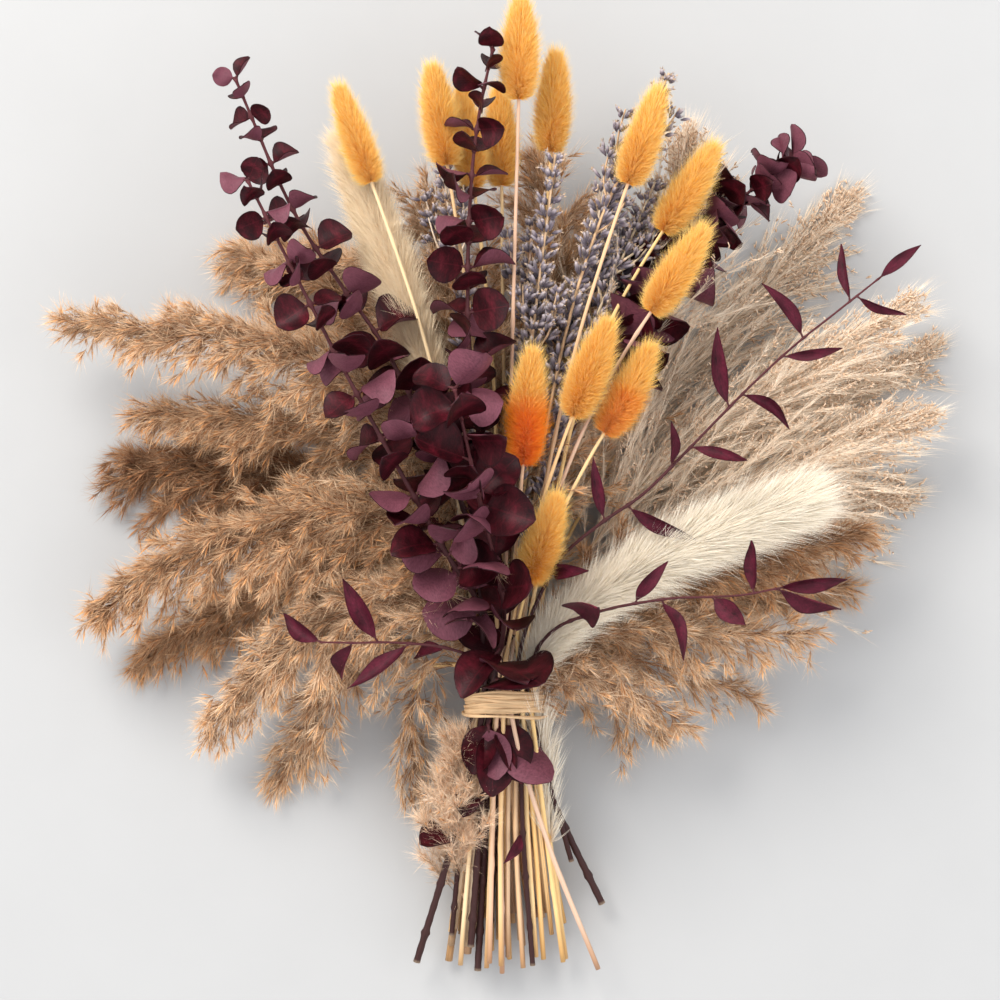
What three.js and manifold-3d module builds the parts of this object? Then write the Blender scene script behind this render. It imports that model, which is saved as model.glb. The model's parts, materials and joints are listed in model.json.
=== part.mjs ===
// A hand-tied bunch of dried flowers lying on a surface. Millimetres, +Z up,
// +Y from the cut ends towards the heads, +X to the bunch's right.
import * as THREE from "three";
import { mergeVertices } from "three/addons/utils/BufferGeometryUtils.js";
import Module from "manifold-3d";

const wasm = await Module();
wasm.setup();

// ---- driving dimensions
const REACH = 1; // scale of the fan of heads about the tie
const STEM_BELOW = 123; // longest cut stem, from the tie's centre
const TIE_WIDTH = 38; // raffia tie across the bundle
const TIE_DEPTH = 28; // raffia tie, front to back
const TIE_HEIGHT = 10; // raffia tie along the stems
const TIE_WALL = 2; // thickness of the wound raffia
const TIE_LIFT = 40; // centre of the tie above the surface
const TAIL_WIDTH = 17; // hare's-tail head across its hairs
const TAIL_LENGTH = 42;
const REED_WIDTH = 30; // body of a brown reed plume
const LAVENDER_WIDTH = 10;
const STRAW = 1.15; // radius of a straw stem
const TWIG = 1.5; // radius of a woody stem
const GAP = 0.55; // least room between two pieces
const LEAF_THICK = 1.1;
const SINK = 1.2; // how far the lowest heads are pressed flat by the surface

// ---- the pieces: way = [angle from +Y in degrees (right is +), reach, height above surface]
// for each bend of the stem from the tie to the tip; head = share of the last stretch with the head
const PLANT = [];
const add = (name, kind, width, length, flat, way, below = 0.9) =>
  PLANT.push({ name, kind, width, length, flat, way, below });

// brown reeds on the left, back ones first
add("reed_left_back", "reed", REED_WIDTH, 165, 0.4, [[-8, 120, 20], [-19, 190, 3], [-32, 244, 3]], 0.8);
add("reed_left_1", "reed", REED_WIDTH * 1.1, 225, 0.42, [[-17, 132, 60], [-31, 183, 64], [-43, 228, 56], [-51, 274, 40]], 0.93);
add("reed_left_2", "reed", REED_WIDTH, 190, 0.42, [[-22, 110, 42], [-38, 160, 40], [-54, 223, 26]], 0.86);
add("reed_left_3", "reed", REED_WIDTH, 180, 0.42, [[-27, 90, 20], [-45, 145, 4], [-60, 214, 3]], 0.83);
add("reed_left_4", "reed", REED_WIDTH * 1.1, 185, 0.42, [[-27, 88, 62], [-54, 132, 58], [-69, 166, 46], [-81, 196, 28]], 0.9);
add("reed_left_5", "reed", REED_WIDTH, 160, 0.42, [[-34, 70, 32], [-66, 120, 15], [-86, 179, 2]], 0.8);
add("reed_left_6", "reed", REED_WIDTH * 0.95, 140, 0.45, [[-30, 50, 56], [-62, 84, 56], [-84, 112, 42], [-99, 140, 24]], 0.96);
add("reed_left_7", "reed", REED_WIDTH * 0.85, 108, 0.45, [[-38, 38, 42], [-72, 64, 38], [-95, 88, 15], [-113, 116, 2]], 0.85);
add("reed_left_low", "reed", REED_WIDTH * 0.6, 74, 0.55, [[-30, 24, 40], [-70, 38, 34], [-105, 44, 16], [-140, 60, 3]], 0.72);
// tall brown plumes at the back
add("reed_back_left", "reed", REED_WIDTH * 1.15, 165, 0.42, [[-5, 110, 46], [-7, 180, 50], [-9, 238, 46]], 0.9);
add("reed_back_middle", "reed", REED_WIDTH * 1.1, 170, 0.42, [[4, 110, 36], [6, 180, 36], [4, 254, 34]], 0.88);
// cream plumes
add("plume_slim", "plume", 20, 135, 0.7, [[-13, 120, 66], [-14, 180, 74], [-16, 267, 72]], 0.9);
add("plume_full", "plume", 35, 168, 0.52, [[32, 30, 58], [40, 62, 72], [47, 100, 80], [53, 137, 80], [57, 174, 74]], 0.95);
// airy panicle grasses on the right
add("panicle_1", "panicle", 22, 150, 0.4, [[15, 120, 44], [19, 200, 52], [18, 272, 50]], 0.85);
add("panicle_2", "panicle", 26, 175, 0.4, [[24, 120, 20], [31, 205, 4], [35, 288, 2]], 0.9);
add("panicle_3", "panicle", 26, 170, 0.4, [[32, 110, 36], [41, 190, 38], [46, 267, 30]], 0.82);
add("panicle_4", "panicle", 24, 165, 0.4, [[38, 100, 22], [46, 180, 7], [51, 260, 2]], 0.86);
add("panicle_5", "panicle", 25, 155, 0.4, [[42, 95, 40], [51, 165, 42], [56, 237, 34]], 0.78);
add("panicle_6", "panicle", 23, 140, 0.4, [[47, 85, 20], [57, 145, 3], [63, 210, 2]], 0.8);
// brown reeds on the right and the short ones below them
add("reed_right_1", "reed", REED_WIDTH * 0.95, 155, 0.42, [[46, 70, 50], [60, 125, 50], [65, 191, 40]], 0.84);
add("reed_right_2", "reed", REED_WIDTH * 0.9, 145, 0.42, [[52, 60, 26], [66, 115, 9], [72, 176, 3]], 0.8);
add("reed_right_3", "reed", REED_WIDTH * 0.9, 125, 0.42, [[54, 46, 50], [70, 90, 52], [78, 150, 40]], 0.82);
add("reed_right_4", "reed", REED_WIDTH * 0.85, 105, 0.42, [[54, 36, 34], [78, 74, 26], [91, 122, 10]], 0.78);
add("reed_right_5", "reed", REED_WIDTH * 0.75, 80, 0.5, [[48, 30, 50], [78, 54, 48], [99, 91, 34]], 0.76);
add("reed_right_6", "reed", REED_WIDTH * 0.6, 62, 0.55, [[46, 24, 34], [78, 40, 26], [104, 74, 3]], 0.74);
// hare's tails, upper ones first; the last four stand at the front
const tail = (n, width, flat, way, below) =>
  add(`hares_tail_${n}`, "tail", TAIL_WIDTH * width, TAIL_LENGTH, flat, way, below);
tail(1, 0.7, 1, [[-12, 140, 84], [-15, 281, 92]], 0.97);
tail(2, 1, 1, [[-5, 140, 76], [-6.5, 283, 84]], 0.98);
tail(3, 0.85, 1, [[-2, 150, 62], [-4, 273, 66]], 0.92);
tail(4, 1.08, 1, [[1, 150, 84], [1.3, 310, 92]], 1);
tail(5, 0.95, 1, [[5, 150, 66], [4.5, 289, 70]], 0.95);
tail(6, 0.9, 1, [[-1, 150, 52], [-0.5, 274, 52]], 0.9);
tail(7, 0.95, 1, [[11, 150, 84], [14, 279, 90]], 0.98);
tail(8, 1, 1, [[14, 150, 74], [20.5, 263, 78]], 0.96);
tail(9, 0.98, 1, [[16, 120, 90], [22.6, 227, 96]], 0.99);
tail(10, 1.15, 1, [[10, 80, 86], [15, 174, 112]], 0.97);
tail(11, 1.05, 1, [[15, 70, 80], [22, 170, 100]], 0.94);
tail(12, 1.12, 1, [[3, 60, 80], [4.4, 156, 108]], 0.96);
tail(13, 1.05, 1, [[12, 30, 62], [14, 95, 98]], 0.95);
// lavender
const lavender = (n, length, way, below) =>
  add(`lavender_${n}`, "lavender", LAVENDER_WIDTH, length, 1, way, below);
lavender(1, 95, [[9, 150, 72], [11, 215, 80], [14.5, 288, 82]], 0.9);
lavender(2, 70, [[7.5, 140, 62], [14, 262, 66]], 0.88);
lavender(3, 80, [[11, 130, 68], [16, 241, 66]], 0.92);
lavender(4, 75, [[12, 110, 58], [16, 226, 54]], 0.86);
lavender(5, 85, [[4, 140, 76], [5.2, 244, 80]], 0.94);
lavender(6, 80, [[3, 120, 62], [3.3, 216, 70]], 0.9);
lavender(7, 50, [[-6, 140, 62], [-6.6, 247, 66]], 0.85);
// woody branches; their leaves are set below
add("eucalyptus_left_back", "branch", TWIG * 2, 0, 1, [[-11, 80, 74], [-18, 160, 86], [-23, 234, 92], [-23.2, 310, 96]], 0.98);
add("eucalyptus_left_front", "branch", TWIG * 2.2, 0, 1, [[-12, 33, 66], [-22, 80, 96], [-25.5, 170, 112], [-26, 268, 108]], 0.99);
add("eucalyptus_middle", "branch", TWIG * 2, 0, 1, [[-3, 70, 64], [-6, 150, 92], [-3, 250, 96], [-0.5, 298, 94]], 0.94);
add("eucalyptus_right", "branch", TWIG * 2, 0, 1, [[10, 90, 56], [19, 180, 62], [24, 240, 60], [28.5, 280, 56]], 0.92);
add("eucalyptus_short", "branch", TWIG * 2, 0, 1, [[-1, 40, 80], [-7, 90, 108], [-9, 146, 118]], 0.9);
add("narrow_leaf_upper", "branch", TWIG * 1.7, 0, 1, [[22, 70, 84], [33, 110, 98], [38, 190, 104], [41, 249, 100]], 0.97);
add("narrow_leaf_right", "branch", TWIG * 1.6, 0, 1, [[34, 40, 74], [54, 80, 96], [65, 118, 100], [67, 142, 96]], 0.9);
add("narrow_leaf_left", "branch", TWIG * 1.6, 0, 1, [[-32, 22, 64], [-50, 42, 78], [-64, 64, 80], [-71, 86, 74]], 0.86);

// ---- leaves: t is the share of the way from the tie to the tip (below 0: from the tie to the cut end),
// turn and side are degrees round the stem: 0 right, 90 up, 180 left
const rounds = (list) => list.map(([t, length, width, turn = 0]) => ({ t, length, width, turn, pair: true }));
const singles = (list) => list.map(([t, side, length, width]) => ({ t, side, length, width }));
const FACE_UP = { eucalyptus: 0.42, eucalyptus_middle: 0.22, eucalyptus_right: 0.25, eucalyptus_short: 0.6, narrow: 0.8 }; // how far a leaf turns its face up
const pairs = (from, to, count, size) =>
  rounds(Array.from({ length: count }, (_, i) => {
    const q = count > 1 ? i / (count - 1) : 0;
    const length = size[0] + (size[1] - size[0]) * q ** 1.3;
    return [from + (to - from) * q, length, length * 0.88, i % 2 ? 35 : -8];
  }));
const LEAVES = {
  eucalyptus_left_back: [...singles([[-0.62, 150, 17, 12], [-0.5, 60, 15, 11]]), ...pairs(0.3, 0.97, 11, [25, 10])],
  eucalyptus_left_front: [...singles([[-0.12, 110, 24, 14], [-0.3, 70, 20, 12]]), ...pairs(0.14, 0.96, 12, [25, 12])],
  eucalyptus_middle: [...singles([[-0.14, 60, 22, 14], [-0.34, 100, 20, 11]]), ...pairs(0.16, 0.97, 14, [24, 12])],
  eucalyptus_right: pairs(0.55, 0.98, 9, [19, 11]),
  eucalyptus_short: [...singles([[-0.16, 80, 22, 13]]), ...pairs(0.12, 0.97, 10, [27, 19])],
  narrow_leaf_upper: singles([[-0.62, 120, 16, 6], [-0.45, 40, 16, 6], [0.3, 150, 24, 11], [0.42, 175, 26, 8], [0.46, 350, 24, 8], [0.56, 165, 24, 9], [0.6, 20, 26, 8], [0.68, 160, 28, 9], [0.71, 340, 28, 9], [0.8, 30, 24, 8], [0.84, 165, 28, 10], [0.93, 170, 27, 9], [0.95, 10, 24, 8], [1, 0, 20, 8]]),
  narrow_leaf_right: singles([[0.4, 200, 22, 13], [0.55, 170, 22, 8], [0.62, 350, 24, 8], [0.76, 20, 22, 12], [0.86, 170, 20, 8], [0.93, 350, 20, 9], [1, 0, 16, 8]]),
  narrow_leaf_left: singles([[0.45, 15, 26, 10], [0.6, 190, 24, 9], [0.75, 10, 24, 9], [0.85, 200, 22, 9], [1, 0, 18, 9]]),
};

// ---- small helpers
const rad = (d) => (d * Math.PI) / 180;
let seed = 7;
const rnd = () => {
  seed = (seed * 16807) % 2147483647;
  return seed / 2147483647;
};
const V = (x, y, z) => new THREE.Vector3(x, y, z);
const polar = ([angle, reach, lift]) =>
  V(Math.sin(rad(angle)) * reach * REACH, Math.cos(rad(angle)) * reach * REACH, lift);

// Head radius as a share of its half width, at t from the head's base to its tip.
const PROFILE = {
  reed: [[0, 0.2], [0.16, 0.75], [0.4, 1], [0.7, 0.8], [0.9, 0.42], [1, 0.12]],
  plume: [[0, 0.2], [0.15, 0.7], [0.42, 1], [0.72, 0.95], [0.92, 0.62], [1, 0.2]],
  panicle: [[0, 0.18], [0.2, 0.7], [0.5, 1], [0.8, 0.75], [1, 0.15]],
  tail: [[0, 0.35], [0.12, 0.85], [0.35, 1], [0.65, 0.86], [0.88, 0.55], [1, 0.18]],
  lavender: [[0, 0.3], [0.2, 0.75], [0.55, 1], [0.85, 0.8], [1, 0.3]],
};

// The stem's places in the tie: rows of slots across its oval, each row filled from left to right
// with the pieces of that layer in the order in which they fan out.
function giveSlots() {
  const a = TIE_WIDTH / 2 - TIE_WALL - TWIG - 0.8;
  const b = TIE_DEPTH / 2 - TIE_WALL - TWIG - 0.8;
  const rows = 7;
  const room = [];
  for (let r = 0; r < rows; r++) {
    const v = b * (-1 + (2 * (r + 0.5)) / rows);
    room.push({ v, half: a * Math.sqrt(1 - (v / b) ** 2) });
  }
  const total = room.reduce((s, r) => s + r.half, 0);
  const early = (p) => p.way[0][2] + 0.35 * p.way[p.way.length - 1][2];
  const order = [...PLANT].sort((p, q) => early(p) - early(q));
  let used = 0, sum = 0;
  for (const row of room) {
    sum += row.half;
    const upto = Math.round((order.length * sum) / total);
    const layer = order.slice(used, upto).sort((p, q) => p.way[0][0] - q.way[0][0]);
    layer.forEach((p, i) => {
      const u = layer.length > 1 ? (2 * i) / (layer.length - 1) - 1 : 0;
      p.slot = V(u * row.half, 0, row.v);
    });
    used = upto;
  }
}

// A piece's centre line as points from the cut end to the tip, with a radius at each.
const APART = { eucalyptus_right: [42, -92], narrow_leaf_right: [31, -72], eucalyptus_left_back: [-40, -118], hares_tail_9: [43, -121] };
function layOut(p) {
  const [x, y] = APART[p.name] ?? [p.slot.x * 1.75, -STEM_BELOW * p.below];
  const end = V(
    x + (rnd() - 0.5) * 5,
    y,
    STRAW + (p.slot.z + TIE_DEPTH / 2 - TIE_WALL - TWIG - 0.8) * 0.95,
  );
  const at = p.slot.clone().add(V(0, 0, TIE_LIFT));
  const curve = new THREE.CatmullRomCurve3([end, at, ...p.way.map(polar)], false, "centripetal");
  const length = curve.getLength();
  const below = end.distanceTo(at);
  const headFrom = 1 - (p.length * Math.min(1, 0.4 + 0.6 * REACH)) / length;
  const stem = p.kind === "branch" ? 1 : headFrom;
  const tie = below / length;
  const stops = [0, tie * 0.5, tie - 9 / length, tie, tie + 9 / length];
  const n = p.kind === "branch" ? 11 : Math.max(1, Math.round(((stem - tie) * length) / 34));
  const from = tie + 9 / length;
  for (let i = 1; i < n; i++) stops.push(from + ((stem - from) * i) / n);
  p.r = stops.map((s, i) => (p.kind === "branch" ? 0 : STRAW));
  if (p.kind === "branch") {
    stops.push(1);
    p.r = stops.map((s) => (p.width / 2) * (1.1 - 0.55 * s));
  } else {
    for (const [t, w] of PROFILE[p.kind]) {
      stops.push(Math.max(stem, from + 2 / length) + (1 - Math.max(stem, from + 2 / length)) * t);
      p.r.push(Math.max(STRAW, (w * p.width) / 2));
    }
  }
  p.pts = stops.map((s) => curve.getPointAt(Math.min(1, Math.max(0, s))));
  p.home = p.pts.map((q) => q.clone());
  p.flatAt = p.r.map((r) => (r <= STRAW || p.kind === "branch" ? 1 : p.flat));
  p.move = p.pts.map(() => V(0, 0, 0));
}

// How far a piece reaches from its centre line in direction n.
const reachOf = (r, flat, n) => r * Math.hypot(Math.hypot(n.x, n.y), flat * n.z);

// The closest points of two segments.
const d1 = V(), d2 = V(), w0 = V();
function closest(p1, q1, p2, q2) {
  d1.subVectors(q1, p1);
  d2.subVectors(q2, p2);
  w0.subVectors(p1, p2);
  const a = d1.dot(d1), e = d2.dot(d2), f = d2.dot(w0), c = d1.dot(w0), b = d1.dot(d2);
  const den = a * e - b * b;
  let s = den > 1e-9 ? Math.min(1, Math.max(0, (b * f - c * e) / den)) : 0.5;
  let t = (b * s + f) / e;
  if (t < 0) { t = 0; s = Math.min(1, Math.max(0, -c / a)); }
  else if (t > 1) { t = 1; s = Math.min(1, Math.max(0, (b - c) / a)); }
  return [s, t];
}

// Lets the pieces press each other apart until none touches another.
function settle(rounds, calm) {
  const a = TIE_WIDTH / 2 - TIE_WALL, b = TIE_DEPTH / 2 - TIE_WALL;
  const n = V(), x = V(), y = V();
  for (let round = 0; round < rounds; round++) {
    let worst = 0;
    for (const p of PLANT) {
      p.box = p.pts.slice(1).map((q, k) => {
        const o = p.pts[k], r = Math.max(p.r[k], p.r[k + 1]) + GAP;
        return [Math.min(o.x, q.x) - r, Math.max(o.x, q.x) + r, Math.min(o.y, q.y) - r, Math.max(o.y, q.y) + r, Math.min(o.z, q.z) - r, Math.max(o.z, q.z) + r];
      });
    }
    for (let i = 0; i < PLANT.length; i++)
      for (let j = i + 1; j < PLANT.length; j++) {
        const P = PLANT[i], Q = PLANT[j];
        for (let k = 0; k < P.box.length; k++)
          for (let m = 0; m < Q.box.length; m++) {
            const A = P.box[k], B = Q.box[m];
            if (A[0] > B[1] || B[0] > A[1] || A[2] > B[3] || B[2] > A[3] || A[4] > B[5] || B[4] > A[5]) continue;
            const [s, t] = closest(P.pts[k], P.pts[k + 1], Q.pts[m], Q.pts[m + 1]);
            x.lerpVectors(P.pts[k], P.pts[k + 1], s);
            y.lerpVectors(Q.pts[m], Q.pts[m + 1], t);
            n.subVectors(x, y);
            let d = n.length();
            if (d < 1e-3) { n.set(0, 0, i > j ? 1 : -1); d = 1e-3; } else n.divideScalar(d);
            const rp = P.r[k] * (1 - s) + P.r[k + 1] * s, rq = Q.r[m] * (1 - t) + Q.r[m + 1] * t;
            const need = reachOf(rp, Math.max(P.flatAt[k], P.flatAt[k + 1]), n) + reachOf(rq, Math.max(Q.flatAt[m], Q.flatAt[m + 1]), n) + GAP;
            if (d >= need) continue;
            const over = need - d;
            worst = Math.max(worst, over);
            // heads are pushed up or down sooner than sideways
            const px = n.x * 0.55, py = n.y * 0.3, pz = n.z * 1.2;
            const along = n.x * px + n.y * py + n.z * pz;
            const g = (0.5 * over * 0.9) / Math.max(along, 0.15);
            const push = (pts, h, w, sign) => {
              pts[h].x += sign * g * px * w;
              pts[h].y += sign * g * py * w;
              pts[h].z += sign * g * pz * w;
            };
            push(P.pts, k, 1 - s, 1); push(P.pts, k + 1, s, 1);
            push(Q.pts, m, 1 - t, -1); push(Q.pts, m + 1, t, -1);
          }
      }
    for (const p of PLANT) {
      if (calm) {
        p.move = p.pts.map((q, k) => q.clone().sub(p.home[k]));
        const soft = p.move.map((v) => v.clone());
        for (let k = 1; k < p.pts.length - 1; k++)
          soft[k].multiplyScalar(0.6).addScaledVector(p.move[k - 1], 0.2).addScaledVector(p.move[k + 1], 0.2);
        p.pts.forEach((q, k) => {
          soft[k].x *= 0.985; soft[k].y *= 0.985; soft[k].z *= 0.995;
          q.addVectors(p.home[k], soft[k]);
        });
      }
      p.pts.forEach((q, k) => {
        const floor = p.r[k] * p.flatAt[k] - (p.r[k] > 3 ? SINK : 0);
        if (q.z < floor) q.z = floor;
        if (Math.abs(k - 3) <= 1) {
          // inside the tie
          const u = q.x, v = q.z - TIE_LIFT, ia = a - p.r[k] - 0.5, ib = b - p.r[k] - 0.5;
          const out = Math.hypot(u / ia, v / ib);
          if (out > 1) { q.x = u / out; q.z = TIE_LIFT + v / out; }
        }
      });
    }
    if (worst < 0.02 && !calm) return;
  }
}

// ---- solids
function manifoldOf(geometry) {
  const g = geometry.clone();
  for (const k of ["normal", "uv"]) g.deleteAttribute(k);
  const m = mergeVertices(g, 1e-4);
  return new wasm.Manifold(new wasm.Mesh({ numProp: 3, vertProperties: m.attributes.position.array, triVerts: new Uint32Array(m.index.array) }));
}
function geometryOf(manifold) {
  const mesh = manifold.getMesh();
  const pos = new Float32Array((mesh.vertProperties.length / mesh.numProp) * 3);
  for (let i = 0; i < pos.length / 3; i++)
    for (let j = 0; j < 3; j++) pos[3 * i + j] = mesh.vertProperties[mesh.numProp * i + j];
  const g = new THREE.BufferGeometry();
  g.setAttribute("position", new THREE.BufferAttribute(pos, 3));
  g.setIndex(new THREE.BufferAttribute(new Uint32Array(mesh.triVerts), 1));
  const out = g.toNonIndexed();
  out.computeVertexNormals();
  return out;
}

const frameAt = (pts, k) => {
  const a = pts[Math.max(0, k - 1)], b = pts[Math.min(pts.length - 1, k + 1)];
  const along = b.clone().sub(a).normalize();
  const side = V(along.y, -along.x, 0).normalize();
  const up = side.clone().cross(along).normalize();
  return { along, side, up };
};

// A turned body (stem and head in one profile) bent along the piece's centre line.
function bentLathe(p, sides) {
  const profile = [new THREE.Vector2(0, 0)];
  p.r.forEach((r, k) => profile.push(new THREE.Vector2(r, k + 1)));
  profile.push(new THREE.Vector2(0, p.r.length + 1));
  const g = new THREE.LatheGeometry(profile, sides);
  const pos = g.attributes.position;
  for (let i = 0; i < pos.count; i++) {
    const k = Math.min(p.pts.length - 1, Math.max(0, Math.round(pos.getY(i)) - 1));
    const { along, side, up } = frameAt(p.pts, k);
    const x = pos.getX(i), z = pos.getZ(i);
    const q = p.pts[k].clone().addScaledVector(side, x).addScaledVector(up, -z * p.flatAt[k]);
    if (k === p.pts.length - 1 && Math.hypot(x, z) < 1e-6) q.addScaledVector(along, p.r[k] * 0.5);
    pos.setXYZ(i, q.x, q.y, q.z);
  }
  let m = manifoldOf(g);
  if (m.volume() < 0) {
    const idx = g.index.array;
    for (let i = 0; i < idx.length; i += 3) [idx[i + 1], idx[i + 2]] = [idx[i + 2], idx[i + 1]];
    m = manifoldOf(g);
  }
  return m;
}

// ---- leaves
const outline = (length, width, round) => {
  const s = new THREE.Shape();
  const w = width / 2;
  const stops = round
    ? [[0, 0.05], [0.15, 0.1], [0.4, 0.95], [0.78, 0.88], [1, 0.2]]
    : [[0, 0.12], [0.16, 0.25], [0.45, 1], [0.8, 0.6], [1, 0.08]];
  stops.forEach(([t, f], i) => (i ? s.lineTo(t * length, -Math.max(f * w, 0.55)) : s.moveTo(0, -Math.max(f * w, 0.55))));
  [...stops].reverse().forEach(([t, f]) => s.lineTo(t * length, Math.max(f * w, 0.55)));
  s.closePath();
  return s;
};
function leafSolid(l, round) {
  const g = new THREE.ExtrudeGeometry(outline(l.length, l.width, round), { depth: LEAF_THICK, bevelEnabled: false, curveSegments: 1 });
  g.translate(0, 0, -LEAF_THICK / 2);
  g.applyMatrix4(new THREE.Matrix4().makeBasis(l.dir, l.lat, l.normal).setPosition(l.at));
  return manifoldOf(g);
}
const taken = []; // sample points of leaves already set: [point, piece]
function leafPoints(l) {
  const out = [];
  for (let i = 0; i <= 6; i++)
    for (let j = -2; j <= 2; j++) {
      const t = 0.06 + 0.94 * (i / 6), w = (l.width / 2) * Math.sin(Math.PI * Math.min(0.97, t * 0.92 + 0.04));
      out.push(l.at.clone().addScaledVector(l.dir, t * l.length).addScaledVector(l.lat, (w * j) / 2));
    }
  return out;
}
const ab = V(), ap = V();
function roomAt(point, owner) {
  let room = point.z - 0.9;
  const inTie = Math.hypot(point.x / (TIE_WIDTH / 2 + 1.5), (point.z - TIE_LIFT) / (TIE_DEPTH / 2 + 1.5)) < 1;
  if (inTie && Math.abs(point.y) < TIE_HEIGHT / 2 + 2) return 0;
  for (const p of PLANT) {
    if (p === owner) continue;
    for (let k = 0; k < p.box.length; k++) {
      const B = p.box[k];
      if (point.x < B[0] - 4 || point.x > B[1] + 4 || point.y < B[2] - 4 || point.y > B[3] + 4 || point.z < B[4] - 4 || point.z > B[5] + 4) continue;
      const a = p.pts[k], b = p.pts[k + 1];
      ab.subVectors(b, a);
      const t = Math.min(1, Math.max(0, ap.subVectors(point, a).dot(ab) / ab.dot(ab)));
      ap.copy(a).addScaledVector(ab, t).sub(point);
      const d = ap.length();
      ap.divideScalar(d || 1);
      room = Math.min(room, d - reachOf(p.r[k] * (1 - t) + p.r[k + 1] * t, Math.max(p.flatAt[k], p.flatAt[k + 1]), ap));
    }
  }
  return room;
}
// Sets one leaf by its stem: of a few rolls and tilts it takes the first that is clear of everything.
function placeLeaf(p, leaf, round) {
  const tie = 3, last = p.pts.length - 1;
  const f = leaf.t < 0 ? tie + leaf.t * tie : tie + leaf.t * (last - tie);
  const face = p.name in FACE_UP ? FACE_UP[p.name] : FACE_UP[round ? "eucalyptus" : "narrow"];
  const k = Math.min(last - 1, Math.floor(f));
  const at = p.pts[k].clone().lerp(p.pts[k + 1], f - k);
  const { along, side, up } = frameAt(p.pts, Math.round(f));
  for (const shrink of [1, 0.85, 0.7, 0.55])
    for (const tilt of [55, 40, 70, 25, 85])
      for (const roll of [0, 18, -18, 36, -36, 54, -54, 75, -75, 100, -100]) {
        const a = rad(leaf.side + roll);
        const b = rad(leaf.t >= 1 ? tilt * 0.15 : leaf.t < 0 ? 180 - tilt * 0.6 : tilt);
        const out = side.clone().multiplyScalar(Math.cos(a)).addScaledVector(up, Math.sin(a));
        const dir = along.clone().multiplyScalar(Math.cos(b)).addScaledVector(out, Math.sin(b)).normalize();
        const level = V(dir.y, -dir.x, 0).normalize();
        const wrap = out.clone().cross(along).normalize();
        if (wrap.dot(level) < 0) wrap.negate();
        const lat = wrap.multiplyScalar(1 - face).addScaledVector(level, face);
        lat.addScaledVector(dir, -lat.dot(dir)).normalize();
        const normal = dir.clone().cross(lat).normalize();
        const l = { at, dir, lat, normal, length: leaf.length * shrink, width: leaf.width * shrink };
        const pts = leafPoints(l);
        if (pts.some((q) => roomAt(q, p) < 1.5)) continue;
        if (pts.some((q) => taken.some(([t, o]) => o !== p && t.distanceToSquared(q) < 42))) continue;
        pts.forEach((q) => taken.push([q, p]));
        return l;
      }
  return null;
}

// ---- the tie: a band wound three times, each turn a little proud of the next
function tieSolid() {
  const h = TIE_HEIGHT / 2;
  const oval = (a, b) => {
    const s = new THREE.Shape();
    s.absellipse(0, 0, a, b, 0, Math.PI * 2, false, 0);
    return s;
  };
  const slab = (a, b, y0, y1) => {
    const g = new THREE.ExtrudeGeometry(oval(a, b), { depth: y1 - y0, bevelEnabled: false, curveSegments: 9 });
    g.rotateX(Math.PI / 2);
    g.translate(0, y1, TIE_LIFT);
    return manifoldOf(g);
  };
  const a = TIE_WIDTH / 2, b = TIE_DEPTH / 2;
  let m = slab(a - 0.5, b - 0.5, -h, h);
  for (const y of [-h, -h / 3, h / 3]) m = m.add(slab(a, b, y + 0.3, y + (2 * h) / 3 - 0.3));
  return m.subtract(slab(a - TIE_WALL, b - TIE_WALL, -h - 1, h + 1));
}

// ---- materials
const COLOUR = {
  reed: 0xc4986a, plume: 0xf2e6cf, panicle: 0xdcc09a, tail: 0xf5a84a,
  lavender: 0x8d8799, eucalyptus: 0x5c1e2e, narrow: 0x7a2234, tie: 0xd9b582,
};
const slotOf = (p) =>
  p.kind !== "branch" ? p.kind : p.name.startsWith("narrow") ? "narrow" : "eucalyptus";

// ---- build
giveSlots();
PLANT.forEach(layOut);
settle(260, true);
settle(400, false);

const group = new THREE.Group();
const put = (name, manifold, slot) => {
  const mesh = new THREE.Mesh(geometryOf(manifold), new THREE.MeshStandardMaterial({ color: COLOUR[slot], roughness: 0.85 }));
  mesh.name = name;
  mesh.material.name = slot;
  group.add(mesh);
};
const floorBox = new THREE.BoxGeometry(900, 900, 40);
floorBox.translate(0, 0, -20);
const floor = manifoldOf(floorBox);

for (const p of PLANT) {
  let m = bentLathe(p, ["reed", "plume", "tail"].includes(p.kind) ? 6 : 5);
  if (LEAVES[p.name]) {
    const round = p.name.startsWith("eucalyptus");
    for (const leaf of LEAVES[p.name])
      for (const side of leaf.pair ? [leaf.turn, leaf.turn + 180] : [leaf.side]) {
        const l = placeLeaf(p, { ...leaf, side }, round);
        if (l) m = m.add(leafSolid(l, round));
      }
  }
  if (m.boundingBox().min[2] < 0) m = m.subtract(floor);
  put(p.name, m, slotOf(p));
}
put("raffia_tie", tieSolid(), "tie");

// the origin is the middle of the bottom of the box round the whole bunch
const box = new THREE.Box3().setFromObject(group);
const middle = box.getCenter(V());
for (const mesh of group.children) mesh.geometry.translate(-middle.x, -middle.y, -box.min.z);

export default group;
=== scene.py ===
"""A hand-tied bunch of dried flowers lying on a pale surface.

Each piece of the bunch grew as one thing, stem and head together, and is one
mesh here: reeds, cream plumes, panicles, hare's tails, lavender, eucalyptus,
narrow-leaved branches, and the raffia tie round their stems.
"""

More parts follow.
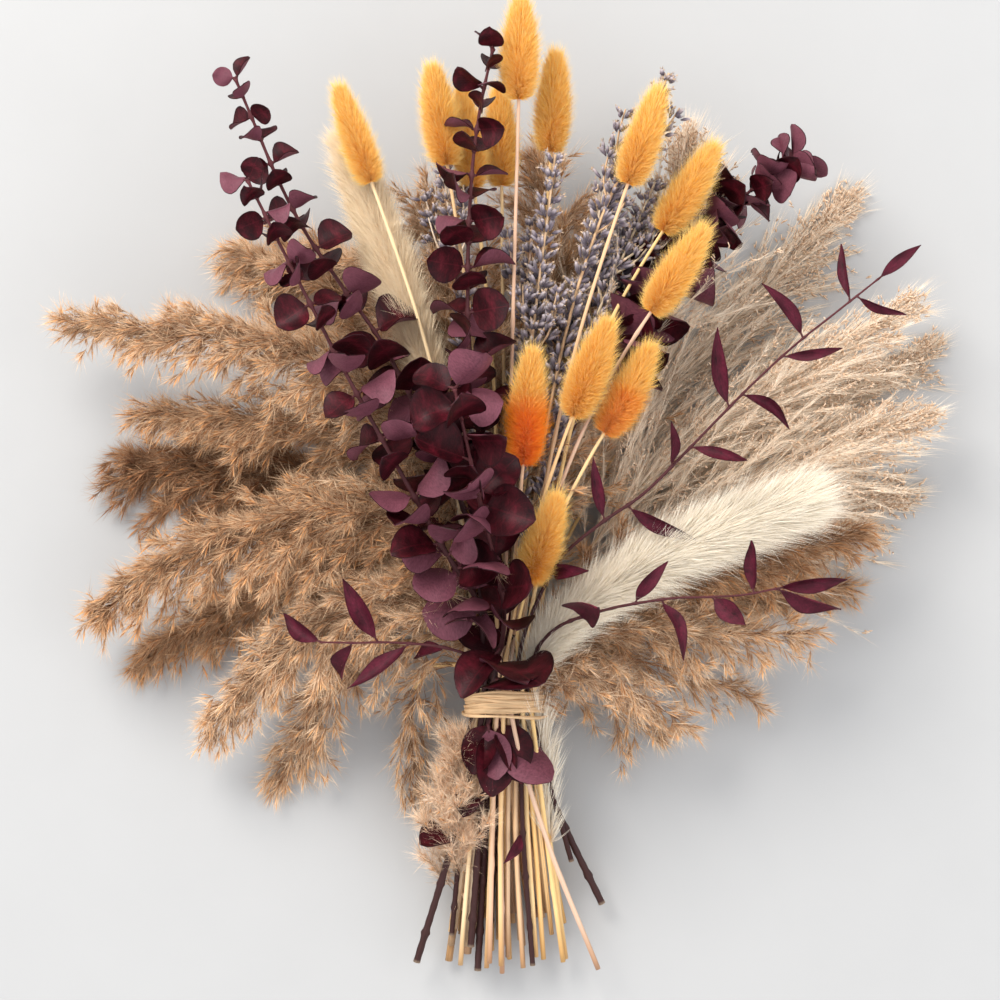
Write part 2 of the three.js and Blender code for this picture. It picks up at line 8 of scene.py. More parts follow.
import heapq
import json
import math
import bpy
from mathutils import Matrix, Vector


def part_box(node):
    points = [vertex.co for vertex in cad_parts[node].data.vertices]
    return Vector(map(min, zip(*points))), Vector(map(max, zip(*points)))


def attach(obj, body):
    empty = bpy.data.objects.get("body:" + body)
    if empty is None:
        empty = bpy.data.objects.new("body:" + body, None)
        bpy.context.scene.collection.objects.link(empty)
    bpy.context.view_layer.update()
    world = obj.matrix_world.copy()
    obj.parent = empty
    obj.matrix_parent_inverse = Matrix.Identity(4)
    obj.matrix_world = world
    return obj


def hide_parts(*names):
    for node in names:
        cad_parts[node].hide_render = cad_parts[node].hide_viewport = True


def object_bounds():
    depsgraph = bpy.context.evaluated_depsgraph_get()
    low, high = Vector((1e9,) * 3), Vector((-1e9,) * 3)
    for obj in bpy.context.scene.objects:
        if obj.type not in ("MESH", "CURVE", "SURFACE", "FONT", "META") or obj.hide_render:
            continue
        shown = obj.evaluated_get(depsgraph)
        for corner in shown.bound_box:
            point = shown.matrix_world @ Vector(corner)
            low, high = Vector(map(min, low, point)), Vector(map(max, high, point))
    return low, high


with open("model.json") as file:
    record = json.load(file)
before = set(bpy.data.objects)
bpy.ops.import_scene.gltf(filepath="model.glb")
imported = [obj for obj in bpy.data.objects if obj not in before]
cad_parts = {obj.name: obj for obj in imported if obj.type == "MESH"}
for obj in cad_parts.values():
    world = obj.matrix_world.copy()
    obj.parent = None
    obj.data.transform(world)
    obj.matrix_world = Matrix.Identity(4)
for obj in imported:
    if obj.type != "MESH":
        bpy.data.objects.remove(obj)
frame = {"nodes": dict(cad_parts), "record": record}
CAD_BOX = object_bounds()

from types import SimpleNamespace

import bpy
import numpy as np
from bpy.props import FloatProperty, FloatVectorProperty, PointerProperty
from mathutils import Vector

bl_info = {
    "name": "Dried Flower Bunch",
    "version": (1, 0, 0),
    "blender": (4, 2, 0),
    "location": "View3D > Sidebar > Flowers",
    "description": "Builds a hand-tied bunch of dried flowers, piece by piece",
    "category": "Object",
}

UV = "OFBake"  # map on which every colour depends
FULL_TURN = 2 * math.pi
LIFT = 0.0006  # half a grain: what lies on the surface keeps its thickness
FLOOR = CAD_BOX[0][2]
REST = 0.0025  # below this height, what presses on the surface is bent along it


def laid(points):
    """Points moved up, smoothly, where they would reach into the surface."""
    high = points[:, 2] - FLOOR
    bent = REST * np.exp(np.minimum(high, REST) / REST - 1)
    return np.stack([points[:, 0], points[:, 1], FLOOR + np.where(high < REST, bent, high)], -1)


# ---------------------------------------------------------------- lines

def unit(v):
    """Vectors scaled to length one."""
    return v / np.maximum(np.linalg.norm(v, axis=-1, keepdims=True), 1e-12)


def around(turn, side, up, flat=1.0):
    """Directions at angles turn round an axis, from side towards up."""
    return np.cos(turn)[..., None] * side + flat * np.sin(turn)[..., None] * up


class Line:
    """A smooth line through a few points, measured by its length in metres."""

    def __init__(self, points, step=0.002):
        p = np.asarray(points, float)
        keep = np.r_[True, np.linalg.norm(np.diff(p, axis=0), axis=1) > 1e-4]
        p = p[keep]
        chord = np.r_[0, np.cumsum(np.linalg.norm(np.diff(p, axis=0), axis=1))]
        slope = np.gradient(p, chord, axis=0)
        fine = np.linspace(0, chord[-1], max(8, int(chord[-1] / step)))
        k = np.clip(np.searchsorted(chord, fine, side="right") - 1, 0, len(p) - 2)
        h = (chord[k + 1] - chord[k])[:, None]
        t = ((fine - chord[k]) / h[:, 0])[:, None]
        self.p = (
            (2 * t**3 - 3 * t**2 + 1) * p[k]
            + (t**3 - 2 * t**2 + t) * h * slope[k]
            + (3 * t**2 - 2 * t**3) * p[k + 1]
            + (t**3 - t**2) * h * slope[k + 1]
        )
        self.s = np.r_[0, np.cumsum(np.linalg.norm(np.diff(self.p, axis=0), axis=1))]
        self.length = self.s[-1]
        self.t = unit(np.gradient(self.p, self.s, axis=0))

    def at(self, s):
        """Points at lengths s."""
        return np.stack([np.interp(s, self.s, self.p[:, i]) for i in range(3)], -1)

    def frame(self, s):
        """Directions along the line, level across it, and upwards, at lengths s."""
        t = unit(np.stack([np.interp(s, self.s, self.t[:, i]) for i in range(3)], -1))
        side = unit(np.stack([t[..., 1], -t[..., 0], 0 * t[..., 0]], -1))
        return t, side, np.cross(side, t)

    def near(self, point):
        """Length along the line nearest to a point, and its distance."""
        d = np.linalg.norm(self.p - point, axis=1)
        i = int(d.argmin())
        return self.s[i], d[i]


def solid_of(name):
    """Points and the neighbours of each in a CAD node, with doubled points joined."""
    me = frame["nodes"][name].data
    co = np.empty(len(me.vertices) * 3)
    me.vertices.foreach_get("co", co)
    points, index = np.unique(np.round(co.reshape(-1, 3), 5), axis=0, return_inverse=True)
    index = index.ravel()
    near = [set() for _ in points]
    for poly in me.polygons:
        ring = [index[v] for v in poly.vertices]
        for a, b in zip(ring, ring[1:] + ring[:1]):
            if a != b:
                near[a].add(int(b))
                near[b].add(int(a))
    return points, near


CUT_WIDTH = 0.0045  # what lies this near a stem's lowest point belongs to its cut end
STALK = 0.0019  # no stalk is wider than this from its centre line


def turned(name):
    """A turned node's centre line from cut end to tip, where its head starts, and the head's half width."""
    points, near = solid_of(name)
    low = int(points[:, 1].argmin())
    level = set(np.flatnonzero(np.linalg.norm(points - points[low], axis=1) < CUT_WIDTH).tolist())
    seen, centres, reach = set(level), [], []
    while level:
        ring = points[sorted(level)]
        c = ring.mean(0)
        centres.append(c)
        reach.append(np.linalg.norm(ring - c, axis=1).max())
        level = {n for v in level for n in near[v]} - seen
        seen |= level
    line = Line(centres)
    head = next(i for i, r in enumerate(reach) if r > STALK)
    usual = float(np.median(reach[head:]))  # where a body is cut flat by the surface, some rings run wide
    return line, line.near(centres[head])[0], min(max(reach), 1.25 * usual)


TWIG_NEAR, TWIG_FAR = 0.0034, 0.0032  # what is nearer belongs to a stem, and what is farther to a leaf
TWIG_STEP = 0.006  # between two points of a stem's centre line
FEWEST = 5  # points in a leaf
THINNEST = 0.0035  # what is narrower is a scrap of the end leaf's edge, not a leaf


def branched(name, end_leaf):
    """A leafy node's centre line, and its leaves as (length along, base, direction, face, length, width).

    end_leaf is the length of the leaf that the stem runs into at its tip."""
    points, near = solid_of(name)
    start = int(points[:, 1].argmin())
    cost, back, heap = {start: 0.0}, {}, [(0.0, start)]
    while heap:
        c, v = heapq.heappop(heap)
        if c > cost[v]:
            continue
        for n in sorted(near[v]):
            d = c + float(np.linalg.norm(points[v] - points[n]))
            if d < cost.get(n, 9e9) - 1e-9:
                cost[n], back[n] = d, v
                heapq.heappush(heap, (d, n))
    end = max(sorted(cost), key=lambda v: cost[v])
    path = [end]
    while path[-1] in back:
        path.append(back[path[-1]])
    way = []
    for v in reversed(path):
        c = points[np.linalg.norm(points - points[v], axis=1) < TWIG_NEAR].mean(0)
        if cost[v] > cost[end] - end_leaf:
            break
        if not way or np.linalg.norm(c - way[-1]) > TWIG_STEP:
            way.append(c)
    line = Line(way)
    far = np.array([line.near(p)[1] for p in points])
    outer = {int(i) for i in np.flatnonzero(far > TWIG_FAR)}
    leaves = []

    def measure(blade):
        """Adds a leaf, or two where a pair has grown together."""
        reach = [line.near(p)[1] for p in blade]
        s = line.near(blade[int(np.argmin(reach))])[0]
        base = line.at(s)
        long = np.linalg.norm(blade - base, axis=1).max()
        along = unit(blade.mean(0) - base)
        axes = np.linalg.svd(blade - blade.mean(0))[2]
        across = unit(np.cross(axes[2] * (1 if axes[2][2] >= 0 else -1), along))
        width = np.ptp(blade @ across)
        if width > 1.2 * long:
            side = (blade - blade.mean(0)) @ axes[0] > 0
            if min(side.sum(), (~side).sum()) >= FEWEST:
                measure(blade[side])
                measure(blade[~side])
                return
        if width > THINNEST:
            leaves.append((s, base, along, unit(np.cross(along, across)), long, min(width, 1.2 * long)))

    while outer:
        group, edge = set(), {min(outer)}
        while edge:
            group |= edge
            edge = {n for v in edge for n in near[v] if n in outer} - group
        outer -= group
        if len(group) >= FEWEST:
            measure(points[sorted(group)])
    return line, leaves


# ---------------------------------------------------------------- meshes

SLIP = 0.004  # half a slip's width on the map


def mapped(us, vs):
    """Map coordinates from values that run across and values that run along."""
    return np.stack(np.broadcast_arrays(us, vs), -1).astype(float)


def each(value, n):
    """One value for each of n things, or the same for all."""
    return np.broadcast_to(np.asarray(value, float), (n,))


class Build:
    """Points, triangles and map coordinates of one mesh."""

    def __init__(self):
        self.points, self.faces, self.maps, self.n = [], [], [], 0

    def add(self, points, faces, uv):
        """points (n, 3), faces (m, 3), uv (n, 2): one map coordinate per point."""
        self.points.append(points)
        self.faces.append(np.asarray(faces) + self.n)
        self.maps.append(uv)
        self.n += len(points)

    def grid(self, points, uv, closed=False):
        """A sheet of quads from points (rows, columns, 3), joined round if closed."""
        rows, cols = points.shape[:2]
        i = np.arange(rows - 1)[:, None] * cols
        j = np.arange(cols if closed else cols - 1)[None, :]
        a, b = i + j, i + (j + 1) % cols
        c, d = b + cols, a + cols
        faces = np.concatenate([np.stack([a, b, c], -1), np.stack([a, c, d], -1)]).reshape(-1, 3)
        self.add(points.reshape(-1, 3), faces, uv.reshape(-1, 2))

    def tube(self, centres, radii, u, v, sides=7, spread=0.02):
        """A closed round stem along centres; v runs along it and u a little way round it."""
        t = unit(np.gradient(centres, axis=0))
        side = unit(np.stack([t[:, 1], -t[:, 0], 0 * t[:, 0]], -1) + 1e-6)
        up = np.cross(side, t)
        turn = np.linspace(0, FULL_TURN, sides, endpoint=False)
        ring = around(turn[None], side[:, None], up[:, None])
        body = centres[:, None] + ring * np.asarray(radii)[:, None, None]
        us = u + spread * np.abs(np.linspace(-1, 1, sides))
        uv = mapped(us[None, :], np.asarray(v)[:, None])
        first = self.n
        self.grid(body, uv, closed=True)
        for row, end in ((0, centres[0]), (len(centres) - 1, centres[-1])):
            ring = np.arange(sides)
            nxt = (ring + 1) % sides
            at = first + row * sides
            self.points.append(end[None])
            self.maps.append(np.array([[u, np.asarray(v)[row]]]))
            hub = np.full(sides, self.n)
            a, b = at + ring, at + nxt
            self.faces.append(np.stack([hub, b, a] if row == 0 else [hub, a, b], -1))
            self.n += 1

    def hairs(self, root, along, bend, width, rng, u, v, waist=0.75, foot=1.0):
        """Tapered slips: root, vector along, extra bend at the tip, width, place on the map.

        waist and foot are the widths half way and at the root as a share of width."""
        n = len(root)
        side = unit(np.cross(along, rng.normal(size=(n, 3))))
        w = each(width, n)[:, None] / 2
        mid = root + 0.5 * along + 0.25 * bend
        points = np.stack([root - side * w * foot, root + side * w * foot,
                           mid - side * w * waist, mid + side * w * waist,
                           root + along + bend], 1)
        base = (np.arange(n) * 5)[:, None, None]
        faces = (base + np.array([[0, 1, 3], [0, 3, 2], [2, 3, 4]])[None]).reshape(-1, 3)
        u = each(u, n)
        v0, v1 = (each(end, n) for end in v)
        vm = (v0 + v1) / 2
        uv = np.stack([np.stack([u - SLIP, u + SLIP, u - SLIP, u + SLIP, u], 1),
                       np.stack([v0, v0, vm, vm, v1], 1)], -1)
        self.add(points.reshape(-1, 3), faces, uv.reshape(-1, 2))

    def threads(self, root, along, width, rng, u, v):
        """The finest hairs, one slim triangle each: root, vector along, width there, place on the map."""
        n = len(root)
        side = unit(np.cross(along, rng.normal(size=(n, 3))))
        w = each(width, n)[:, None] / 2
        points = np.stack([root - side * w, root + side * w, root + along], 1)
        u = each(u, n)
        v0, v1 = (each(end, n) for end in v)
        uv = np.stack([np.stack([u - SLIP, u + SLIP, u], 1), np.stack([v0, v0, v1], 1)], -1)
        self.add(points.reshape(-1, 3), np.arange(3 * n).reshape(-1, 3), uv.reshape(-1, 2))

    def seeds(self, centre, along, radius, u, v, sides=5, rings=(0.35, 1.0, 0.55)):
        """Small closed grains: centre, vector from end to end, half width."""
        n = len(centre)
        centre = laid(centre) + [0, 0, LIFT]
        t = unit(along)
        side = unit(np.cross(t, np.array([0.3, 0.2, 1.0])))
        up = np.cross(side, t)
        turn = np.linspace(0, FULL_TURN, sides, endpoint=False)
        ring = around(turn[None], side[:, None], up[:, None])
        r = each(radius, n)[:, None, None]
        places = np.linspace(-0.38, 0.36, len(rings))
        layers = [centre[:, None] + along[:, None] * q + ring * r * f for q, f in zip(places, rings)]
        points = np.concatenate([(centre - along / 2)[:, None], *layers, (centre + along / 2)[:, None]], 1)
        m, faces = points.shape[1], []
        for j in range(sides):
            k = (j + 1) % sides
            faces.append([0, 1 + k, 1 + j])
            for q in range(len(rings) - 1):
                a, b = 1 + q * sides, 1 + (q + 1) * sides
                faces += [[a + j, a + k, b + k], [a + j, b + k, b + j]]
            last = 1 + (len(rings) - 1) * sides
            faces.append([last + j, last + k, m - 1])
        faces = (np.arange(n)[:, None, None] * m + np.array(faces)[None]).reshape(-1, 3)
        v0, v1 = v
        vs = np.r_[v0, np.repeat(np.linspace(v0, v1, len(rings) + 2)[1:-1], sides), v1]
        us = np.r_[0, np.tile(np.linspace(-0.006, 0.006, sides), len(rings)), 0]
        u = each(u, n)[:, None]
        uv = np.stack([u + us[None], np.broadcast_to(vs, (n, m))], -1)
        self.add(points.reshape(-1, 3), faces, uv.reshape(-1, 2))

    def finish(self, name, material, slot, *nodes):
        """Makes the mesh, hangs it on the root body and hides the CAD nodes it stands for."""
        points = np.concatenate(self.points)
        points[:, 2] = laid(points)[:, 2]
        faces = np.concatenate(self.faces).astype(np.int32)
        uv = np.concatenate(self.maps)
        uv = np.clip(uv, 0.002, 0.998)
        me = bpy.data.meshes.new(name)
        me.vertices.add(len(points))
        me.vertices.foreach_set("co", points.ravel())
        me.loops.add(faces.size)
        me.loops.foreach_set("vertex_index", faces.ravel())
        me.polygons.add(len(faces))
        me.polygons.foreach_set("loop_start", np.arange(0, faces.size, 3, dtype=np.int32))
        me.polygons.foreach_set("use_smooth", np.ones(len(faces), bool))
        me.update(calc_edges=True)
        layer = me.uv_layers.new(name=UV)
        layer.data.foreach_set("uv", uv[faces.ravel()].ravel())
        me.materials.append(material)
        o = bpy.data.objects.new(name, me)
        bpy.context.scene.collection.objects.link(o)
        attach(o, "root")
        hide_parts(*nodes)
        return o


# ---------------------------------------------------------------- materials

class Look:
    """A material in the making: nodes are added and linked as they are asked for."""

    def __init__(self, name):
        self.material = bpy.data.materials.new(name)
        self.material.use_nodes = True
        self.tree = self.material.node_tree
        self.shader = next(n for n in self.tree.nodes if n.type == "BSDF_PRINCIPLED")

    def fill(self, socket, value):
        """Links another node's output to a socket, or sets the socket's value."""
        if isinstance(value, bpy.types.NodeSocket):
            self.tree.links.new(value, socket)
        else:
            socket.default_value = value

    def put(self, kind, *numbered, **named):
        """A new node with its inputs filled, by number and by name."""
        n = self.tree.nodes.new(kind)
        for i, value in enumerate(numbered):
            self.fill(n.inputs[i], value)
        for key, value in named.items():
            self.fill(n.inputs[key], value)
        return n

    def uv(self):
        """The map on which every colour depends."""
        n = self.put("ShaderNodeUVMap")
        n.uv_map = UV
        return n.outputs[0]

    def math(self, operation, a, b=0.0):
        """Arithmetic on two values."""
        n = self.put("ShaderNodeMath", a, b)
        n.operation = operation
        return n.outputs[0]

    def stretched(self, place, by):
        """A place multiplied along each of its directions."""
        n = self.put("ShaderNodeVectorMath", place, by)
        n.operation = "MULTIPLY"
        return n.outputs[0]

    def noise(self, place, scale, detail, **more):
        return self.put("ShaderNodeTexNoise", Vector=place, Scale=scale, Detail=detail, **more).outputs[0]

    def fine(self, scale, detail):
        """Noise over the piece itself."""
        return self.noise(self.put("ShaderNodeTexCoord").outputs[3], scale, detail)

    def ramp(self, value, stops):
        """A colour ramp through (place, colour) stops."""
        n = self.put("ShaderNodeValToRGB", value)
        band = n.color_ramp
        while len(band.elements) > 1:
            band.elements.remove(band.elements[-1])
        for i, (place, colour) in enumerate(stops):
            e = band.elements[0] if i == 0 else band.elements.new(place)
            e.position = place
            e.color = (*colour[:3], 1)
        return n.outputs[0]

    def mixed(self, kind, factor, a, b):
        """Mixes two colours."""
        n = self.tree.nodes.new("ShaderNodeMix")
        n.data_type = "RGBA"
        n.blend_type = kind
        for i, value in ((0, factor), (6, a), (7, b)):
            self.fill(n.inputs[i], (*value, 1) if isinstance(value, tuple) else value)
        return n.outputs[2]

    def times(self, a, b):
        """One colour multiplied by another."""
        return self.mixed("MULTIPLY", 1.0, a, b)

    def done(self, colour, rough, specular, relief=None, strength=0.0, depth=0.0003):
        """The finished material: relief is the height that its bump follows."""
        self.fill(self.shader.inputs["Base Color"], colour)
        self.shader.inputs["Roughness"].default_value = rough
        self.shader.inputs["Specular IOR Level"].default_value = specular
        if relief:
            b = self.put("ShaderNodeBump", Strength=strength, Distance=depth, Height=relief)
            self.fill(self.shader.inputs["Normal"], b.outputs[0])
        return self.material


def grey(x):
    return (x, x, x)


def toned(colour, by):
    """A colour made lighter or darker."""
    return tuple(by * c for c in colour)


STRAWS = [  # colours of the straw stems, from one plant's place on the map to the next's
    (0.1, (0.86, 0.66, 0.42)),
    (0.22, (0.93, 0.62, 0.25)),
    (0.34, (0.70, 0.45, 0.32)),
    (0.46, (0.92, 0.74, 0.50)),
    (0.58, (0.46, 0.26, 0.17)),
    (0.7, (0.80, 0.58, 0.34)),
    (0.8, (0.93, 0.80, 0.62)),
    (0.9, (0.60, 0.40, 0.28)),
]
STRAW_TOP = 0.165  # the map below this height is straw
CUT = [(0.0, (0.55, 0.42, 0.3)), (0.012, grey(1.0))]  # what a stem's cut end is toned with
DULL, PLAIN = (0.7, 0.6, 0.5), (1.0, 1.0, 1.0)


def husk(name, stops, across=None, tone=0.2, dark=DULL, pale=PLAIN, rough=0.7, sheen=0.2, bump=0.2):
    """Dry plant material over the map: stops run up it and across runs along it, tone varies from plant to
    plant, and single slips vary from dark to pale."""
    look = Look(name)
    uv = look.uv()
    u, v = look.put("ShaderNodeSeparateXYZ", uv).outputs[:2]
    colour = look.ramp(v, stops)
    if across:
        colour = look.times(colour, look.ramp(u, across))
    stem = look.times(look.ramp(u, STRAWS), look.ramp(v, CUT))
    colour = look.mixed("MIX", look.math("LESS_THAN", v, STRAW_TOP), colour, stem)
    slow = look.noise(look.stretched(uv, (9.0, 1.5, 0.0)), 1.0, 1.0)
    fast = look.noise(look.stretched(uv, (150.0, 7.0, 0.0)), 1.0, 2.0)
    colour = look.times(colour, look.ramp(slow, [(0.3, grey(1 - tone)), (0.7, grey(1.0))]))
    colour = look.times(colour, look.ramp(fast, [(0.3, dark), (0.5, grey(1.0)), (0.7, pale)]))
    look.shader.inputs["Sheen Weight"].default_value = sheen
    return look.done(colour, rough, 0.3, look.fine(900.0, 2.0), bump)


BARK = [  # colours of a woody stem from its cut end to its tip
    (0.0, (0.52, 0.38, 0.26)),
    (0.12, (0.055, 0.022, 0.02)),
    (0.5, (0.05, 0.017, 0.018)),
    (1.0, (0.12, 0.03, 0.035)),
]


def leaf_material(name, dark, mid, light, under, rough=0.5):
    """Leaf blades on eight tiles: four faces above, four undersides below, and stems along the bottom."""
    look = Look(name)
    uv, calc = look.uv(), look.math
    u, v = look.put("ShaderNodeSeparateXYZ", uv).outputs[:2]
    blotch = look.noise(uv, 7.0, 4.0, Roughness=0.6)
    fine = look.noise(uv, 60.0, 3.0)
    face = look.ramp(blotch, [(0.3, dark), (0.5, mid), (0.72, light)])
    back = look.ramp(blotch, [(0.3, toned(under, 0.72)), (0.7, under)])
    stem = look.ramp(calc("MULTIPLY", v, 20.0), BARK)
    # veins: a midrib along each tile's middle and side veins slanting from it
    x = calc("FRACT", calc("MULTIPLY", u, 4.0))
    y = calc("FRACT", calc("DIVIDE", calc("SUBTRACT", v, 0.06), 0.47))
    off = calc("ABSOLUTE", calc("SUBTRACT", x, 0.5))
    rib = calc("LESS_THAN", off, 0.018)
    slant = calc("SUBTRACT", y, calc("MULTIPLY", off, 0.9))
    slant = calc("FRACT", calc("MULTIPLY", slant, 9.0))
    side = calc("MULTIPLY", calc("LESS_THAN", slant, 0.1), 0.45)
    vein = calc("MAXIMUM", rib, side)
    edge = calc("GREATER_THAN", off, 0.43)
    face = look.mixed("MIX", calc("MULTIPLY", vein, 0.4), face, light)
    face = look.mixed("MIX", calc("MULTIPLY", edge, 0.5), face, dark)
    back = look.mixed("MIX", calc("MULTIPLY", vein, 0.35), back, toned(under, 0.55))
    colour = look.mixed("MIX", calc("GREATER_THAN", v, 0.53), back, face)
    colour = look.mixed("MIX", calc("LESS_THAN", v, 0.055), colour, stem)
    colour = look.times(colour, look.ramp(fine, [(0.35, grey(0.7)), (0.65, grey(1.0))]))
    return look.done(colour, rough, 0.18, calc("ADD", vein, fine), 0.35, 0.0004)


# ---------------------------------------------------------------- parts of a plant

def read(outline, t):
    """The value at t of an outline given as (place, value) pairs."""
    return np.interp(t, *zip(*outline))


def straw(b, line, s0, s1, r0, r1, u, rng, v=(0.0, 0.14), nodes=0.05, sides=7):
    """A straw stem with faint nodes, cut square at its lower end."""
    n = max(6, int((s1 - s0) / 0.005))
    s = np.linspace(s0, s1, n)
    r = np.linspace(r0, r1, n)
    if nodes:
        at = np.arange(s0 + rng.uniform(0.3, 0.8) * nodes, s1, nodes)
        for a in at:
            r = r * (1 + 0.3 * np.exp(-(((s - a) / 0.0022) ** 2)))
    vs = v[0] + (v[1] - v[0]) * np.clip((s - s0) / 0.3, 0, 1)
    vs[0] = v[0]
    b.tube(line.at(s), r, u, vs, sides=sides)


def sheath(b, line, s0, s1, radius, u, rng):
    """A dry leaf sheath that wraps most of a stem and stands off it a little at its upper edge."""
    s = np.linspace(s0, s1, 24)
    along, side, up = line.frame(s)
    turn = rng.uniform(0, FULL_TURN) + np.linspace(-2.1, 2.1, 9)
    lift = 1.0 + 0.9 * np.clip((s - s1 + 0.012) / 0.012, 0, 1) ** 2 + 0.05 * np.sin(s * 700)
    narrow = np.clip((s1 - s) / 0.016, 0.15, 1)
    a = turn.mean() + (turn - turn.mean())[None, :] * narrow[:, None]
    ring = around(a, side[:, None], up[:, None])
    body = line.at(s)[:, None] + ring * (radius * lift)[:, None, None]
    b.grid(body, mapped(u + np.linspace(-0.03, 0.03, 9)[None], np.linspace(0.03, 0.13, 24)[:, None]))


def scatter(line, s0, s1, count, rng, flat, lean, spread):
    """Places and directions of side branchlets up a head: t in 0..1, point, direction."""
    t = np.sort((np.arange(count) + rng.uniform(0, 1, count)) / count)
    s = s0 + t * (s1 - s0)
    along, side, up = line.frame(s)
    turn = rng.uniform(0, FULL_TURN, count)
    out = around(turn, side, up, flat)
    a = np.radians(rng.uniform(*spread, count))[:, None] * (1.15 - 0.5 * t[:, None])
    d = unit(along * np.cos(a) + out * np.sin(a) + np.asarray(lean))
    return t, line.at(s), d


def feather(b, line, s0, s1, rng, u, branchlets, length, profile, spread, flat, droop, per, loose, lemma,
            hair, lean=(0, 0, 0), deep=0.3):
    """A plume: branchlets up an axis, each set with spikelets of husks and silky hairs.

    length is a branchlet's where profile is 1 and per the room that a spikelet takes on it. lemma and hair
    are (count in each spikelet, length, width, openness), and deep is how pale the innermost slips get: the
    slips near the axis are darkened towards deep, painted shade in the head's core."""
    b.tube(line.at(np.linspace(s0, s1 - 0.012, 24)), np.linspace(0.0009, 0.0003, 24), u, np.full(24, 0.19),
           sides=5)
    t, start, d = scatter(line, s0, s1 - 0.1 * (s1 - s0), branchlets, rng, flat, lean, spread)
    size = length * read(profile, t) * rng.uniform(0.65, 1.2, branchlets)
    sag = np.asarray(droop) * size[:, None] * rng.uniform(0.4, 1.4, (branchlets, 1))
    which = np.repeat(np.arange(branchlets), np.maximum(3, (size / per).astype(int)))
    q = rng.uniform(0.05, 1.0, len(which))[:, None]
    at = laid(start[which] + d[which] * size[which, None] * q + sag[which] * q**2)
    way = unit(d[which] * size[which, None] + 2 * sag[which] * q)
    way = unit(way + loose * rng.normal(size=way.shape) * [1, 1, flat])
    shade = u + 0.06 * t[which] + rng.uniform(-0.08, 0.08, len(which))
    # painted shade: slips near the axis get less of their ramp's pale end, so the head's core is darker as if
    # in shade
    painted_light_share = deep + (1 - deep) * np.clip(q[:, 0] * 1.6 - 0.25 + rng.normal(0, 0.16, len(q)), 0, 1)
    for (count, slip, width, opened), is_husk in ((lemma, True), (hair, False)):
        k = np.repeat(np.arange(len(which)), count)
        out = unit(way[k] + opened * rng.normal(size=(len(k), 3)))
        long = slip * rng.uniform(0.55, 1.2, len(k))[:, None]
        root = at[k] + way[k] * slip * rng.uniform(0, 0.5, (len(k), 1))
        wide = width * rng.uniform(0.7, 1.25, len(k))
        if is_husk:
            b.hairs(root, out * long, np.asarray(droop) * long * 0.6, wide, rng, shade[k],
                    (0.2, 0.2 + 0.35 * painted_light_share[k]), 1.0, 0.3)
        else:
            b.threads(root, out * long, wide, rng, shade[k], (0.6 + 0.12 * deep, 0.6 + 0.4 * painted_light_share[k]))
    # the branchlets' own stalks
    b.hairs(start, d * size[:, None], sag, 0.0004, rng, np.full(branchlets, u), (0.17, 0.2), 0.8)
    return start, d, size, sag


def coat(b, line, s0, s1, outline, half, count, lift, long, width, rng, u, v=(0.55, 1.0), curl=0.28, tuft=1,
         stray=0.12):
    """Hairs that stand close together all over a head.

    outline gives the root's distance from the axis as a share of half, lift the angle off the axis at the
    head's foot, middle and tip, and tuft the hairs in a wisp."""
    wisps = count // tuft
    t = rng.uniform(0, 1, wisps)
    turn = rng.uniform(0, FULL_TURN, wisps)
    tip = np.radians(np.interp(t, [0, 0.5, 1], lift) + rng.normal(0, 9, wisps))
    drift = stray * rng.normal(size=(wisps, 3))
    k = np.repeat(np.arange(wisps), tuft)
    t = np.clip(t[k] + rng.normal(0, 0.012, len(k)) * (tuft > 1), 0, 1)
    turn = turn[k] + rng.normal(0, 0.16, len(k)) * (tuft > 1)
    along, side, up = line.frame(s0 + t * (s1 - s0))
    out = around(turn, side, up)
    root = line.at(s0 + t * (s1 - s0)) + out * (read(outline, t) * half)[:, None]
    a = tip[k][:, None]
    way = unit(along * np.cos(a) + out * np.sin(a) + drift[k] + 0.07 * rng.normal(size=(len(k), 3)))
    reach = long * rng.uniform(0.6, 1.15, len(k))[:, None]
    shade = u(t) + rng.uniform(-0.04, 0.04, len(k))
    w = width * rng.uniform(0.8, 1.3, len(k))
    if curl:
        b.hairs(root, way * reach, along * reach * curl, w, rng, shade, v, 0.75)
    else:
        b.threads(root, way * reach, w, rng, shade, v)


BLADE_HALF = 0.00022  # half a blade's thickness
FACE_FROM, BACK_FROM, TILE_HIGH = 0.54, 0.07, 0.44  # where faces and undersides start on the map


